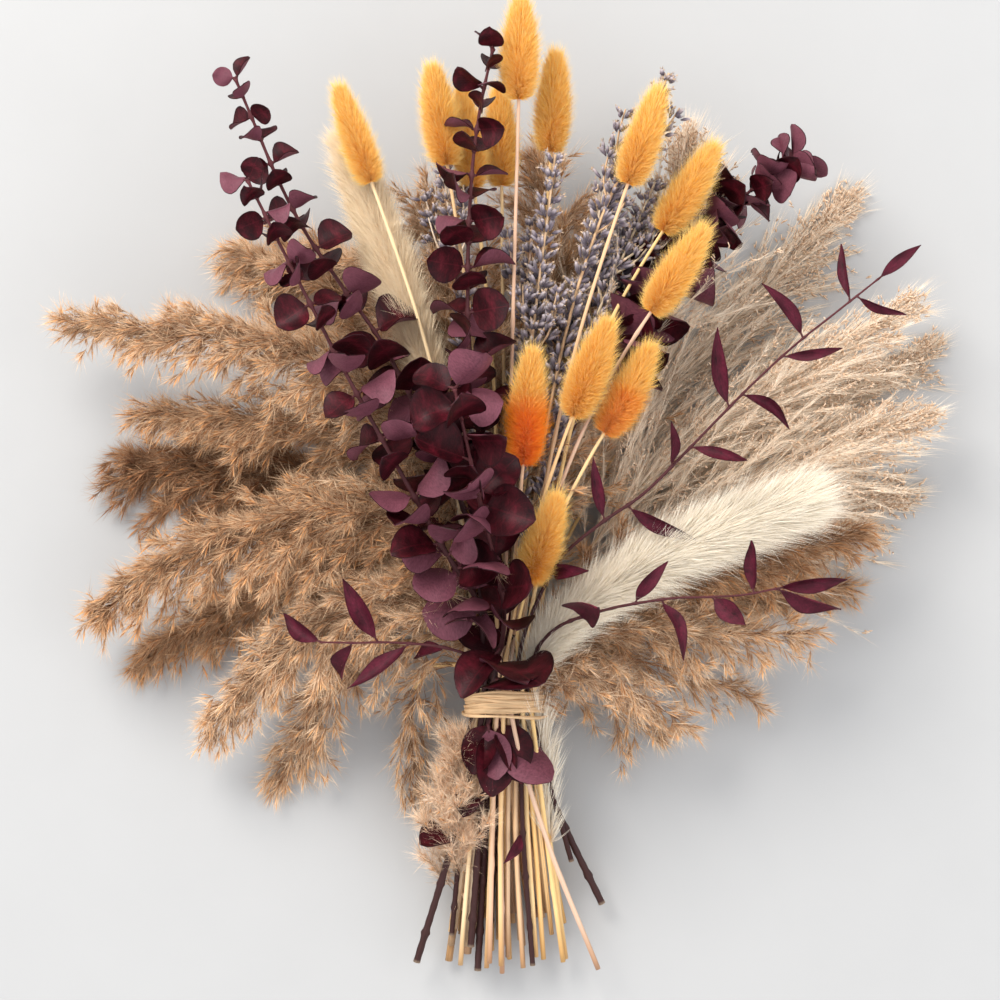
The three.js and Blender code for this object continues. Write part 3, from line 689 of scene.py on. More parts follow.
def blade(b, base, along, face, length, width, rng, tile, outline, cup, curl, petiole=0.12, stem=0.0009,
          hook=0.0):
    """A leaf: a curved blade with a face and an underside, on its petiole; hook bends it sideways."""
    across = unit(np.cross(face, along))
    rows, cols = 12, 7
    t = np.linspace(0, 1, rows)[:, None]
    c = np.linspace(-1, 1, cols)[None, :]
    half = (width / 2) * read(outline, t)
    y = c * half
    foot = petiole * length
    x = foot + t * (length - foot)
    wave = rng.normal(0, 0.02, 2) * width
    z = cup * width * (y / (width / 2)) ** 2 - curl * length * (t - 0.3) ** 2
    z = z + wave[0] * np.sin(t * 7 + c * 2) + wave[1] * c * t
    y = y + hook * length * t**2
    mid = base + x[..., None] * along + y[..., None] * across + z[..., None] * face
    u0 = (tile % 4) / 4
    us = u0 + 0.25 * (0.5 + 0.5 * c * 0.94)
    for sign, v0 in ((1, FACE_FROM), (-1, BACK_FROM)):
        uv = mapped(us, v0 + TILE_HIGH * t)
        sheet = mid + sign * BLADE_HALF * face
        b.grid(sheet if sign > 0 else sheet[:, ::-1], uv if sign > 0 else uv[:, ::-1])
    rim_top, rim_low = mid + BLADE_HALF * face, mid - BLADE_HALF * face
    for edge, flip in ((0, False), (cols - 1, True)):
        band = np.stack([rim_top[:, edge], rim_low[:, edge]], 1)
        uv = mapped(np.full((1, 2), u0 + 0.01), FACE_FROM + TILE_HIGH * t)
        b.grid(band[:, ::-1] if flip else band, uv)
    rise = z[0].mean() * np.linspace(0, 1, 5)[:, None]
    pts = base + along * (np.linspace(0, foot * 1.3, 5)[:, None]) + face * rise
    b.tube(pts, np.linspace(stem, stem * 0.6, 5), u0 + 0.1, np.full(5, 0.04), sides=5)


ROUND = [(0, 0.12), (0.06, 0.45), (0.18, 0.78), (0.35, 0.97), (0.5, 1.0), (0.68, 0.93), (0.84, 0.7),
         (0.94, 0.42), (1, 0.1)]
LANCE = [(0, 0.14), (0.08, 0.4), (0.2, 0.76), (0.33, 0.96), (0.45, 1.0), (0.6, 0.9), (0.75, 0.66),
         (0.88, 0.34), (1, 0.03)]


def woody(b, line, r0, r1, rng, nodes):
    """A woody stem, thicker where leaves stand and where leaves once stood on its bare foot."""
    s = np.linspace(0, line.length, max(20, int(line.length / 0.0016)))
    r = np.linspace(r0, r1, len(s)) * (1 + 0.05 * np.sin(s * 900 + 2))
    scars = np.arange(rng.uniform(0.012, 0.02), min(nodes, default=0.05), 0.024)
    for a in (*nodes, *scars):
        r = r * (1 + 0.4 * np.exp(-(((s - a) / 0.0013) ** 2)))
    v = 0.006 + 0.044 * s / line.length
    v[0] = 0.001
    b.tube(line.at(s), r, 0.2, v, sides=8, spread=0.3)


# ---------------------------------------------------------------- settings

def length_of(name, description, value):
    return FloatProperty(name=name, description=description, default=value, min=0.0, unit="LENGTH",
                         precision=5)


def colour_of(name, description, value):
    return FloatVectorProperty(name=name, description=description, default=value, subtype="COLOR", size=3,
                               min=0, max=1)


class FLOWERS_PG_sizes(bpy.types.PropertyGroup):
    """Sizes of the flowers' finer parts."""

    straw: length_of("Straw", "Radius of a straw stem", 0.0015)
    husk: length_of("Husk", "Length of a reed's husk", 0.0068)
    silk: length_of("Silk", "Length of the cream plume's hairs", 0.0125)
    bristle: length_of("Bristle", "Length of a hare's-tail bristle", 0.0058)
    bud: length_of("Bud", "Length of a lavender bud", 0.0056)
    twig: length_of("Twig", "Radius of a eucalyptus stem", 0.0016)
    raffia: length_of("Raffia", "Width of a raffia strand", 0.0026)


class FLOWERS_PG_colours(bpy.types.PropertyGroup):
    """Colours of the flowers."""

    reed: colour_of("Reed", "Husks of the brown reeds", (0.68, 0.37, 0.175))
    reed_tip: colour_of("Reed, tips", "Tips of the reeds' husks", (0.88, 0.46, 0.18))
    # this dark colour is the husks' roots and also painted shade: slips in a head's core are coloured mostly
    # with it
    reed_root_and_shade: colour_of("Reed, dark", "Roots of the reeds' husks", (0.25, 0.115, 0.05))
    reed_silk: colour_of("Reed silk", "Hairs of the reeds", (0.98, 0.72, 0.48))
    cream: colour_of("Cream", "Hairs of the cream plumes", (0.98, 0.90, 0.76))
    # painted shade: this darker cream colours the hair roots and the core deep inside a plume
    cream_root_shade: colour_of("Cream, deep", "Roots of the cream hairs", (0.88, 0.68, 0.46))
    cream_tan: colour_of("Cream, tan", "What the slim plume's cream is toned with", (1.0, 0.90, 0.75))
    panicle: colour_of("Panicle", "Grains of the airy grass", (0.80, 0.54, 0.34))
    panicle_down: colour_of("Panicle down", "Stalks and down of the airy grass", (1.0, 0.85, 0.67))
    tail: colour_of("Hare's tail", "Bristles of the hare's tails", (1.0, 0.53, 0.055))
    tail_tip: colour_of("Hare's tail, tips", "Tips of the bristles", (1.0, 0.72, 0.26))
    tail_deep: colour_of("Hare's tail, deep", "What deeply dyed heads are toned with", (1.0, 0.5, 0.08))
    lavender: colour_of("Lavender", "Buds of the lavender", (0.165, 0.135, 0.165))
    lavender_pale: colour_of("Lavender, pale", "Faded buds", (0.50, 0.44, 0.45))
    lavender_gold: colour_of("Lavender, gold", "Withered petals", (0.66, 0.46, 0.25))
    leaf: colour_of("Leaf", "Faces of the eucalyptus leaves", (0.038, 0.0019, 0.0048))
    leaf_dark: colour_of("Leaf, dark", "Darkest parts of the leaves", (0.011, 0.0009, 0.0022))
    leaf_light: colour_of("Leaf, light", "Lightest parts of the leaves", (0.105, 0.007, 0.015))
    leaf_under: colour_of("Leaf, underside", "Undersides of the leaves", (0.20, 0.06, 0.085))
    narrow: colour_of("Narrow leaf", "Leaves of the narrow-leaved branches", (0.075, 0.0065, 0.017))
    raffia: colour_of("Raffia", "The tie", (0.76, 0.50, 0.27))
    floor: colour_of("Floor", "The surface", (0.458, 0.455, 0.448))


PLACES = {}  # every piece's own place along the map, so that no two have quite the same tone


def tone_of(name):
    """A piece's place along the map, spread evenly over the pieces in the order they are made."""
    PLACES.setdefault(name, 0.12 + 0.76 * ((len(PLACES) * 0.618034) % 1))
    return PLACES[name]


def seeded(name):
    """A random source that depends on the piece's name alone."""
    return np.random.default_rng(sum(ord(c) * (i + 3) for i, c in enumerate(name)))


HIDDEN = ("rna_type", "name")  # what a group of settings holds besides its settings


def settings(context):
    """The sizes as they are set, and the colours as plain tuples."""
    group = context.scene.flower_colours
    keys = [key for key in group.bl_rna.properties.keys() if key not in HIDDEN]
    return context.scene.flower_sizes, SimpleNamespace(**{key: tuple(getattr(group, key)) for key in keys})


def names_of(slot):
    return [p["node"] for p in frame["record"]["subparts"] if p["material_slot"] == slot]


# ---------------------------------------------------------------- operators

CAMERA_HIGH, CAMERA_SEES = 2.6, 0.445  # metres above the bunch, and the width seen from there
SENSOR = 36


class FLOWERS_OT_stage(bpy.types.Operator):
    """Sets the floor, the lights and the camera above the bunch"""

    bl_idname = "flowers.stage"
    bl_label = "Stage"

    def execute(self, context):
        _, colours = settings(context)
        scene = context.scene
        low, high = (Vector(c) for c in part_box("raffia_tie"))
        tie = (low + high) / 2
        bpy.ops.mesh.primitive_plane_add(size=14, location=(0, 0, FLOOR - 0.0002))
        floor = context.active_object
        floor.name = "floor"
        look = Look("floor")
        shade = look.ramp(look.fine(30.0, 3.0), [(0.3, toned(colours.floor, 0.985)), (0.7, colours.floor)])
        floor.data.materials.append(look.done(shade, 0.8, 0.1))

        world = bpy.data.worlds.new("pale_room")
        world.use_nodes = True
        sky = world.node_tree.nodes["Background"]
        sky.inputs[0].default_value = (0.94, 0.96, 1.0, 1)
        sky.inputs[1].default_value = 1.2
        scene.world = world

        def lamp(name, power, size, place, colour):
            data = bpy.data.lights.new(name, "AREA")
            data.energy, data.size, data.color = power, size, colour
            o = bpy.data.objects.new(name, data)
            scene.collection.objects.link(o)
            o.location = place
            o.rotation_euler = (Vector((0, 0, 0.05)) - Vector(place)).to_track_quat("-Z", "Y").to_euler()

        lamp("key", 50, 1.1, (-0.9, 1.3, 1.6), (1.0, 0.97, 0.93))
        lamp("fill", 9, 1.6, (1.5, -0.4, 1.3), (0.95, 0.97, 1.0))

        camera = bpy.data.objects.new("camera", bpy.data.cameras.new("camera"))
        scene.collection.objects.link(camera)
        camera.location = (tie.x - 0.0022, tie.y + 0.0911, tie.z + 0.02 + CAMERA_HIGH)
        camera.data.sensor_width = SENSOR
        camera.data.lens = SENSOR * CAMERA_HIGH / CAMERA_SEES
        camera.data.clip_end = 50
        scene.camera = camera
        scene.view_settings.view_transform = "Standard"
        return {"FINISHED"}


class FLOWERS_OT_reeds(bpy.types.Operator):
    """Builds the brown reeds: an axis with drooping branchlets of pointed husks and silky hairs"""

    bl_idname = "flowers.reeds"
    bl_label = "Brown reeds"

    def execute(self, context):
        sizes, colours = settings(context)
        husk_colour, silk = colours.reed, colours.reed_silk
        # the dark stops at 0.2 and 0.6 darken the roots of husks and hairs; on the inner slips' shorter runs
        # they are painted shade in each head's core
        m = husk("reed_husk", [
            (0.0, husk_colour), (0.2, colours.reed_root_and_shade), (0.34, husk_colour), (0.46, colours.reed_tip),
            (0.55, silk), (0.6, toned(husk_colour, 0.55)), (0.78, silk), (1.0, silk),
        ], across=[(0.0, (1.1, 1.2, 1.36)), (0.14, (1.08, 1.09, 1.1)), (0.3, grey(1.0)),
                   (0.6, (0.84, 0.75, 0.66)), (0.9, (0.52, 0.4, 0.32))],
            tone=0.25, dark=(0.52, 0.38, 0.28), pale=(1.2, 1.12, 1.02), rough=0.75, sheen=0.08, bump=0.15)
        profile = [(0, 0.5), (0.12, 0.95), (0.35, 1.0), (0.65, 0.82), (0.85, 0.55), (1, 0.34)]
        for name in names_of("reed"):
            rng, u = seeded(name), TONES.get(name, 0.3) + 0.16 * (tone_of(name) - 0.5)
            line, head, half = turned(name)
            b = Build()
            stout = rng.uniform(0.85, 1.45)
            straw(b, line, 0, head + 0.004, sizes.straw * stout, sizes.straw * 0.7, u, rng)
            start = head - min(0.028, 0.3 * head)
            long = line.length - start
            thin, wide = THIN.get(name, 1.0), WIDE.get(name, 1.0)
            feather(b, line, start, line.length, rng, u, branchlets=int(thin * long / 0.00105),
                    length=half * 4.3 * wide, profile=profile, spread=(12, 70), flat=0.6,
                    droop=(0, -0.26, -0.08), per=0.0024 * wide**0.5 / thin, loose=0.34,
                    lemma=(3, sizes.husk, 0.0007, 0.18), hair=(13, sizes.husk * 1.5, 0.00025, 0.42))
            for k in range(2):
                foot = rng.uniform(0.004, 0.03) + 0.045 * k
                sheath(b, line, foot, foot + rng.uniform(0.04, 0.06),
                       sizes.straw * stout * rng.uniform(1.1, 1.35), u, rng)
            if name in TUFTED:
                # deep=1.0 leaves this tuft without painted shade on its inner slips
                feather(b, line, 0.03, 0.09, rng, 0.03, branchlets=60, length=0.031,
                        profile=[(0, 1), (1, 0.8)], spread=(8, 36), flat=0.6,
                        droop=(0, -0.1, 0), per=0.0021, loose=0.35,
                        lemma=(1, sizes.husk, 0.0007, 0.2), hair=(16, sizes.husk * 1.5, 0.00024, 0.35),
                        lean=(-0.3, 0, 0.25), deep=1.0)
            b.finish(name + "_plant", m, "reed", name)
        return {"FINISHED"}


TUFTED = ("reed_left_6", "reed_left_4")  # reeds with a side shoot of fluff below the tie
THIN = {  # how closely the looser heads are set
    "reed_right_3": 0.7, "reed_right_4": 0.5, "reed_right_5": 0.5, "reed_right_6": 0.5,
    "reed_left_low": 0.5,
    "reed_right_2": 0.8, "reed_left_7": 0.8}
WIDE = {"reed_back_left": 2.1, "reed_back_middle": 1.9}  # how much wider the hidden heads spread
TONES = {  # how dark each head is, from 0 to 1
    "reed_left_1": 0.36, "reed_left_2": 0.5, "reed_left_3": 0.74, "reed_left_4": 0.5, "reed_left_5": 0.6,
    "reed_left_6": 0.24, "reed_left_7": 0.2, "reed_left_low": 0.14, "reed_back_left": 0.2,
    "reed_back_middle": 0.2,
    "reed_right_1": 0.6, "reed_right_2": 0.42, "reed_right_3": 0.26, "reed_right_4": 0.14,
    "reed_right_5": 0.12,
    "reed_right_6": 0.12}


FULL_HEAD = [(0, 0.1), (0.1, 0.26), (0.35, 0.6), (0.62, 0.98), (0.85, 1.02), (0.95, 0.85), (1, 0.4)]
SLIM_HEAD = [(0, 0.3), (0.12, 0.7), (0.4, 1.0), (0.7, 1.0), (0.9, 0.8), (1, 0.4)]


class FLOWERS_OT_plumes(bpy.types.Operator):
    """Builds the cream plumes: silky wisps that cover a soft head"""

    bl_idname = "flowers.plumes"
    bl_label = "Cream plumes"

    def execute(self, context):
        sizes, colours = settings(context)
        # the deep stops below 0.68 are painted shade: they darken the hairs' roots and the core inside the
        # head
        deep, cream = colours.cream_root_shade, colours.cream
        m = husk("cream_silk", [(0.0, deep), (0.3, deep), (0.55, deep), (0.68, cream), (1.0, cream)],
                 across=[(0.0, grey(1.0)), (0.45, grey(1.0)), (0.6, colours.cream_tan)],
                 tone=0.06, dark=(0.86, 0.8, 0.72), rough=0.7, sheen=0.3, bump=0.1)
        for name in names_of("plume"):
            rng = seeded(name)
            line, head, half = turned(name)
            full = half > 0.012
            u = 0.2 if full else 0.75
            b = Build()
            straw(b, line, 0, head + 0.004, sizes.straw, sizes.straw * 0.85, u, rng)
            s1 = line.length
            start = head - 0.012
            outline = FULL_HEAD if full else SLIM_HEAD
            q = np.linspace(0, 1, 24)
            core = read(outline, q) * half * (0.46 if full else 0.66)
            end = start + 0.91 * (s1 - start)
            # the core is painted in the deep cream, painted shade inside the head
            b.tube(line.at(start + q * (end - start)), core, u, np.full(24, 0.45), sides=12)
            long = sizes.silk * (1.4 if full else 0.9)
            girth = half * (0.48 if full else 0.7)
            coat(b, line, start, end, outline, girth, 27000 if full else 20000, (20, 27, 20), long, 0.00025,
                 rng,
                 lambda t: u + 0.04 * t, curl=0.2, tuft=18, stray=0.2)
            coat(b, line, start, end, outline, girth, 10000 if full else 9000, (28, 40, 28), long * 1.15,
                 0.00017, rng,
                 lambda t: u + 0.04 * t, curl=0.3, tuft=5, stray=0.3)
            if full:  # a wisp left on the stem below the tie
                coat(b, line, 0.055, 0.115, [(0, 0.2), (0.5, 0.8), (1, 1)], 0.0026, 2600, (12, 16, 20),
                     long,
                     0.00024, rng, lambda t: u + 0.04 * t, curl=0.25, tuft=10, stray=0.25)
            b.finish(name + "_plant", m, "plume", name)
        return {"FINISHED"}


class FLOWERS_OT_panicles(bpy.types.Operator):
    """Builds the airy grass: long thin branches set with down near the stem and small grains at their ends"""

    bl_idname = "flowers.panicles"
    bl_label = "Airy panicles"

    def execute(self, context):
        sizes, colours = settings(context)
        grain, down = colours.panicle, colours.panicle_down
        m = husk("panicle_grain", [
            (0.0, down), (0.2, down), (0.3, toned(grain, 0.7)), (0.42, grain), (0.58, down), (0.6, grain),
            (0.72, down), (1.0, down),
        ], tone=0.12, dark=(0.75, 0.64, 0.55), rough=0.7, bump=0.15)
        for name in names_of("panicle"):
            rng, u = seeded(name), tone_of(name)
            line, head, _ = turned(name)
            b = Build()
            straw(b, line, 0, head + 0.004, sizes.straw * 0.9, sizes.straw * 0.5, u, rng)
            foot = head - 0.03
            start, d, size, sag = feather(
                b, line, foot, line.length, rng, u, branchlets=170, length=0.08,
                profile=[(0, 1.0), (0.3, 1.0), (0.6, 0.66), (0.85, 0.34), (1, 0.16)], spread=(3, 40),
                flat=0.6,
                droop=(0.02, -0.14, -0.05), per=0.0056, loose=0.09, lemma=(1, 0.0045, 0.0005, 0.3),
                hair=(9, 0.013, 0.00018, 0.1), lean=(0, 0.04, 0), deep=0.8)
            n = len(size)
            which = np.repeat(np.arange(n), 7)
            q = rng.uniform(0.3, 1.06, len(which))[:, None]
            at = start[which] + d[which] * size[which, None] * q + sag[which] * q**2
            way = unit(d[which] + 0.45 * rng.normal(size=(len(which), 3)) * [1, 1, 0.7])
            long = rng.uniform(0.003, 0.009, len(which))[:, None]
            b.threads(at, way * long, 0.00026, rng, np.full(len(which), u), (0.17, 0.2))
            pick = np.repeat(np.arange(len(which)), 2)
            r = rng.uniform(0.4, 1.05, len(pick))[:, None]
            lie = unit(way[pick] + 0.4 * rng.normal(size=(len(pick), 3)))
            grains = rng.uniform(0.0018, 0.0032, len(pick))[:, None]
            b.seeds(at[pick] + way[pick] * long[pick] * r + lie * grains * 0.4, lie * grains,
                    rng.uniform(0.00032, 0.00055, len(pick)), u + rng.uniform(-0.1, 0.1, len(pick)),
                    (0.3, 0.6), sides=3, rings=(0.9, 0.8))
            b.finish(name + "_plant", m, "panicle", name)
        return {"FINISHED"}


class FLOWERS_OT_tails(bpy.types.Operator):
    """Builds the hare's tails: soft egg-shaped heads of dense bristles"""

    bl_idname = "flowers.tails"
    bl_label = "Hare's tails"

    def execute(self, context):
        sizes, colours = settings(context)
        tail, tip = colours.tail, colours.tail_tip
        # the stop at 0.3 darkens the core that the bristles hide, painted shade inside the head
        m = husk("tail_bristle", [
            (0.0, tail), (0.3, (0.95 * tail[0], 0.8 * tail[1], 0.6 * tail[2])), (0.45, tail),
            (0.55, (0.97 * tail[0], 0.86 * tail[1], 0.7 * tail[2])), (0.75, tail), (0.93, tip), (1.0, tip),
        ], across=[(0.0, grey(1.0)), (0.5, grey(1.0)), (0.92, colours.tail_deep)],
            tone=0.03, dark=(0.96, 0.9, 0.8), rough=0.8, sheen=0.12, bump=0.1)
        # half width of the head along its length, from its foot to its tip
        shape = [(0, 0.14), (0.04, 0.42), (0.12, 0.76), (0.28, 1.0), (0.45, 1.04), (0.65, 0.9),
                 (0.82, 0.66), (0.93, 0.4), (1, 0.16)]
        for i, name in enumerate(names_of("tail")):
            rng = seeded(name)
            line, head, half = turned(name)
            deep = DEEP_TAILS.get(name, 0.0)
            u = 0.12 + 0.24 * ((i * 0.618) % 1)
            b = Build()
            straw(b, line, 0, head + 0.003, sizes.straw * 0.8, sizes.straw * 0.5, u, rng, nodes=0.09)
            s1 = head + 0.93 * (line.length - head)
            head = head - (0.009 if deep == 1 else 0.001)
            q = np.linspace(0, 1, 16)
            core = read(shape, q) * half * 0.68
            core[0], core[-1] = 0.0008, 0.0006
            low = u + (0.92 - u) * deep
            # the core takes the ramp's darker stops, painted shade inside the head
            b.tube(line.at(head + q * (s1 - head)), core, low, np.linspace(0.35, 0.5, 16), sides=12)

            def dye(t, u=u, low=low):
                """The dye sits deeper in the lower half of some heads."""
                return low + (u - low) * np.clip((t - 0.45) / 0.3, 0, 1)

            coat(b, line, head, s1, shape, half * 0.7, 15000, (84, 46, 14), sizes.bristle, 0.00024, rng,
                 dye, curl=0)
            coat(b, line, head, s1, shape, half * 0.74, 3200, (88, 56, 20), sizes.bristle * 1.35, 0.00015,
                 rng, dye, curl=0.3)
            b.finish(name + "_plant", m, "tail", name)
        return {"FINISHED"}


DEEP_TAILS = {"hares_tail_12": 1.0, "hares_tail_11": 0.7, "hares_tail_1": 0.35, "hares_tail_7": 0.3}


class FLOWERS_OT_lavender(bpy.types.Operator):
    """Builds the lavender: whorls of small ribbed buds up a thin stalk"""

    bl_idname = "flowers.lavender"
    bl_label = "Lavender"

    def execute(self, context):
        sizes, colours = settings(context)
        bud, pale = colours.lavender, colours.lavender_pale
        m = husk("lavender_bud", [
            (0.0, bud), (0.2, toned(bud, 0.6)), (0.3, toned(bud, 0.75)), (0.42, bud), (0.54, pale),
            (0.6, bud), (0.7, pale), (0.85, colours.lavender_gold), (1.0, pale),
        ], tone=0.15, dark=(0.55, 0.5, 0.55), pale=(1.25, 1.2, 1.15), rough=0.8, bump=0.25)
        for name in names_of("lavender"):
            rng, u = seeded(name), tone_of(name)
            line, head, _ = turned(name)
            b = Build()
            straw(b, line, 0, line.length, sizes.straw * 0.75, sizes.straw * 0.4, u, rng, v=(0.0, 0.16),
                  nodes=0)
            foot = head - min(0.105, 0.4 * head)
            self.spike(b, line, foot, head, sizes.bud, 11, u, rng)
            for k in range(4):
                s = head + (line.length - head) * rng.uniform(-0.45, 0.45)
                along, side, up = (v[0] for v in line.frame(np.array([s])))
                away = unit((1 if k % 2 else -1) * side + rng.uniform(-0.2, 0.6) * up)
                long = rng.uniform(0.02, 0.032)
                reach = line.at(np.array([s]))[0] + np.array([0, 0.35, 0.7, 1])[:, None] * long * along
                shoot = Line(reach + np.array([0, 0.24, 0.33, 0.37])[:, None] * long * away)
                straw(b, shoot, 0, shoot.length, sizes.straw * 0.4, sizes.straw * 0.25, u, rng,
                      v=(0.06, 0.16), nodes=0)
                self.spike(b, shoot, 0.3 * long, 0.3 * long, sizes.bud * 0.85, 8, u, rng)
            b.finish(name + "_plant", m, "lavender", name)
        return {"FINISHED"}

    def spike(self, b, line, foot, head, bud, each, u, rng):
        """Whorls of buds from foot to the line's end, sparse below head."""
        s1 = line.length
        whorls = int((s1 - foot) / 0.0062)
        count = whorls * each
        which = np.repeat(np.arange(whorls), each)
        s = foot + (which + 0.5) / whorls * (s1 - foot) + rng.normal(0, 0.0009, count)
        s = np.clip(s, foot, s1)
        s = s[rng.uniform(size=count) < np.interp(s, [foot, (foot + head) / 2, head + 0.001],
                                                  [0.4, 0.75, 1])]
        count = len(s)
        along, side, up = line.frame(s)
        turn = rng.uniform(0, FULL_TURN, count)
        out = around(turn, side, up)
        a = np.radians(rng.uniform(14, 66, count))[:, None]
        way = unit(along * np.cos(a) + out * np.sin(a))
        t = (s - foot) / (s1 - foot)
        long = bud * rng.uniform(0.65, 1.2, count) * np.interp(t, [0, 0.15, 0.8, 1], [0.8, 1.1, 1, 0.65])
        root = line.at(s) + out * rng.uniform(0.0006, 0.003, count)[:, None]
        tone = u + rng.uniform(-0.12, 0.12, count)
        b.seeds(root + way * long[:, None] * 0.5, way * long[:, None], rng.uniform(0.0007, 0.0011, count),
                tone,
                (0.28, 0.56), sides=6, rings=(0.5, 1.0, 0.95, 0.75))
        # withered petals and down at the buds' mouths
        k = rng.integers(0, count, count * 3)
        mouth = root[k] + way[k] * long[k, None] * 0.9
        petal = unit(way[k] + 0.6 * rng.normal(size=(len(k), 3))) * rng.uniform(0.0012, 0.0028, (len(k), 1))
        b.hairs(mouth, petal, 0 * mouth, 0.0009, rng, tone[k], (0.62, 0.95), 1.0, 0.5)
        k = rng.integers(0, count, count * 8)
        at = root[k] + way[k] * long[k, None] * rng.uniform(0.1, 1, (len(k), 1))
        b.threads(at, unit(way[k] + 0.9 * rng.normal(size=(len(k), 3))) * 0.002, 0.0002, rng, tone[k],
                  (0.7, 1.0))


class FLOWERS_OT_eucalyptus(bpy.types.Operator):
    """Builds the eucalyptus: round cupped leaves in pairs on noded stems"""

    bl_idname = "flowers.eucalyptus"
    bl_label = "Eucalyptus"

    def execute(self, context):
        sizes, colours = settings(context)
        m = leaf_material("eucalyptus_leaf", colours.leaf_dark, colours.leaf, colours.leaf_light,
                          colours.leaf_under)
        low, high = (np.array(c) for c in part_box("raffia_tie"))
        tie = (low + high) / 2
        for name in names_of("eucalyptus"):
            rng = seeded(name)
            line, leaves = branched(name, END_LEAF)
            b = Build()
            woody(b, line, sizes.twig, sizes.twig * 0.4, rng, [leaf[0] for leaf in leaves])
            turned_over, lie, larger, crossed = HABITS[name]
            leaves += self.crossing(line, leaves, crossed, rng) + self.hanging(line, name, tie)
            for i, (s, base, along, face, length, width) in enumerate(leaves):
                t = s / line.length
                if face[2] < 0:
                    face = -face
                tilt = face + lie * line.frame(s)[0] + 0.22 * rng.normal(size=3)
                tilt = unit(tilt - along * (tilt @ along))
                if rng.uniform() < turned_over:
                    tilt = -tilt
                grown = larger * rng.uniform(0.88, 1.12) * (1.2 if t < 0.28 else 1)
                blade(b, base, along, tilt, length * grown, width * grown, rng, i, ROUND,
                      cup=rng.uniform(0.08, 0.4), curl=rng.uniform(-0.15, 0.4))
            b.finish(name + "_branch", m, "eucalyptus", name)
        return {"FINISHED"}

    def crossing(self, line, leaves, crossed, rng):
        """The pairs that stand across the others, half way between two of them, above and below the stem."""
        stands = []
        for s in sorted(leaf[0] for leaf in leaves):
            if not stands or s - stands[-1] > 0.006:
                stands.append(s)
        pairs = []
        for low, high in zip(stands, stands[1:]):
            if not 0.011 < high - low < 0.04:
                continue
            for share in np.arange(1, crossed + 1) / (crossed + 1):
                s = low + share * (high - low)
                t, side, up = line.frame(s)
                size = float(np.mean([leaf[4] for leaf in leaves if abs(leaf[0] - s) < 0.025]))
                roll = rng.normal(0, 0.45)
                for sign in (1, -1):
                    along = unit(0.55 * t + sign * (math.cos(roll) * up + math.sin(roll) * side))
                    pairs.append((s, line.at(s), along, unit(t - along * (t @ along)), 0.9 * size,
                                  0.85 * size))
        return pairs

    def hanging(self, line, name, tie):
        """The leaves that hang over the stems just below the tie."""
        foot = line.near(tie)[0] - 0.006
        leaves = []
        for drop, lean, size in HANGING.get(name, ()):
            t, side, up = line.frame(foot - drop)
            along = unit(-t + lean * side + 0.35 * up)
            face = unit(up - along * (up @ along))
            leaves.append((foot - drop, line.at(foot - drop) + 0.004 * up, along, face, size, 0.62 * size))
        return leaves


END_LEAF = 0.011
HABITS = {  # share of leaves turned over, how far faces look up the stem, growth, pairs between two CAD pairs
    "eucalyptus_left_front": (0.6, 0.5, 1.1, 1), "eucalyptus_left_back": (0.12, 0.55, 1.1, 1),
    "eucalyptus_middle": (0.06, 0.7, 1.2, 1), "eucalyptus_right": (0.5, 0.45, 1.55, 3),
    "eucalyptus_short": (0.15, 0.2, 1.15, 1)}
HANGING = {  # distance below the tie, lean to the side, length
    "eucalyptus_left_front": ((0.0, -0.3, 0.023), (0.003, 0.1, 0.026)),
    "eucalyptus_short": ((0.001, 0.4, 0.021),),
    "eucalyptus_middle": ((0.0, 0.5, 0.021), (0.003, 0.9, 0.025)),
}


class FLOWERS_OT_narrow(bpy.types.Operator):
    """Builds the narrow-leaved branches"""

    bl_idname = "flowers.narrow"
    bl_label = "Narrow-leaved branches"

    def execute(self, context):
        sizes, colours = settings(context)
        m = leaf_material("narrow_leaf", toned(colours.leaf_dark, 2.0), colours.narrow,
                          toned(colours.narrow, 1.7), toned(colours.narrow, 2.2), rough=0.6)
        for name in names_of("narrow"):
            rng = seeded(name)
            line, leaves = branched(name, 0.018)
            b = Build()
            woody(b, line, sizes.twig * 0.75, sizes.twig * 0.25, rng, [leaf[0] for leaf in leaves])
            longer, wider = NARROW_SHAPE[name]
            for i, (s, base, along, face, length, width) in enumerate(leaves):
                near_foot = (1.25 - 0.35 * s / line.length) * rng.uniform(0.75, 1.2)
                along = unit(along + 0.28 * rng.normal(size=3))
                face = unit(face + 0.5 * rng.normal(size=3))
                face = unit(face - along * (face @ along))
                blade(b, base, along, face, length * longer * near_foot, width * wider * near_foot, rng, i,
                      LANCE,
                      cup=rng.uniform(0.1, 0.6), curl=rng.uniform(-0.3, 0.4), petiole=0.08, stem=0.0006,
                      hook=rng.uniform(-0.3, 0.3))
            b.finish(name + "_branch", m, "narrow", name)
        return {"FINISHED"}


NARROW_SHAPE = {  # how much longer and wider than its CAD leaves each branch's leaves grew
    "narrow_leaf_upper": (1.35, 0.78), "narrow_leaf_right": (1.4, 1.1), "narrow_leaf_left": (1.3, 0.9)}


STRANDS = 15  # turns of raffia


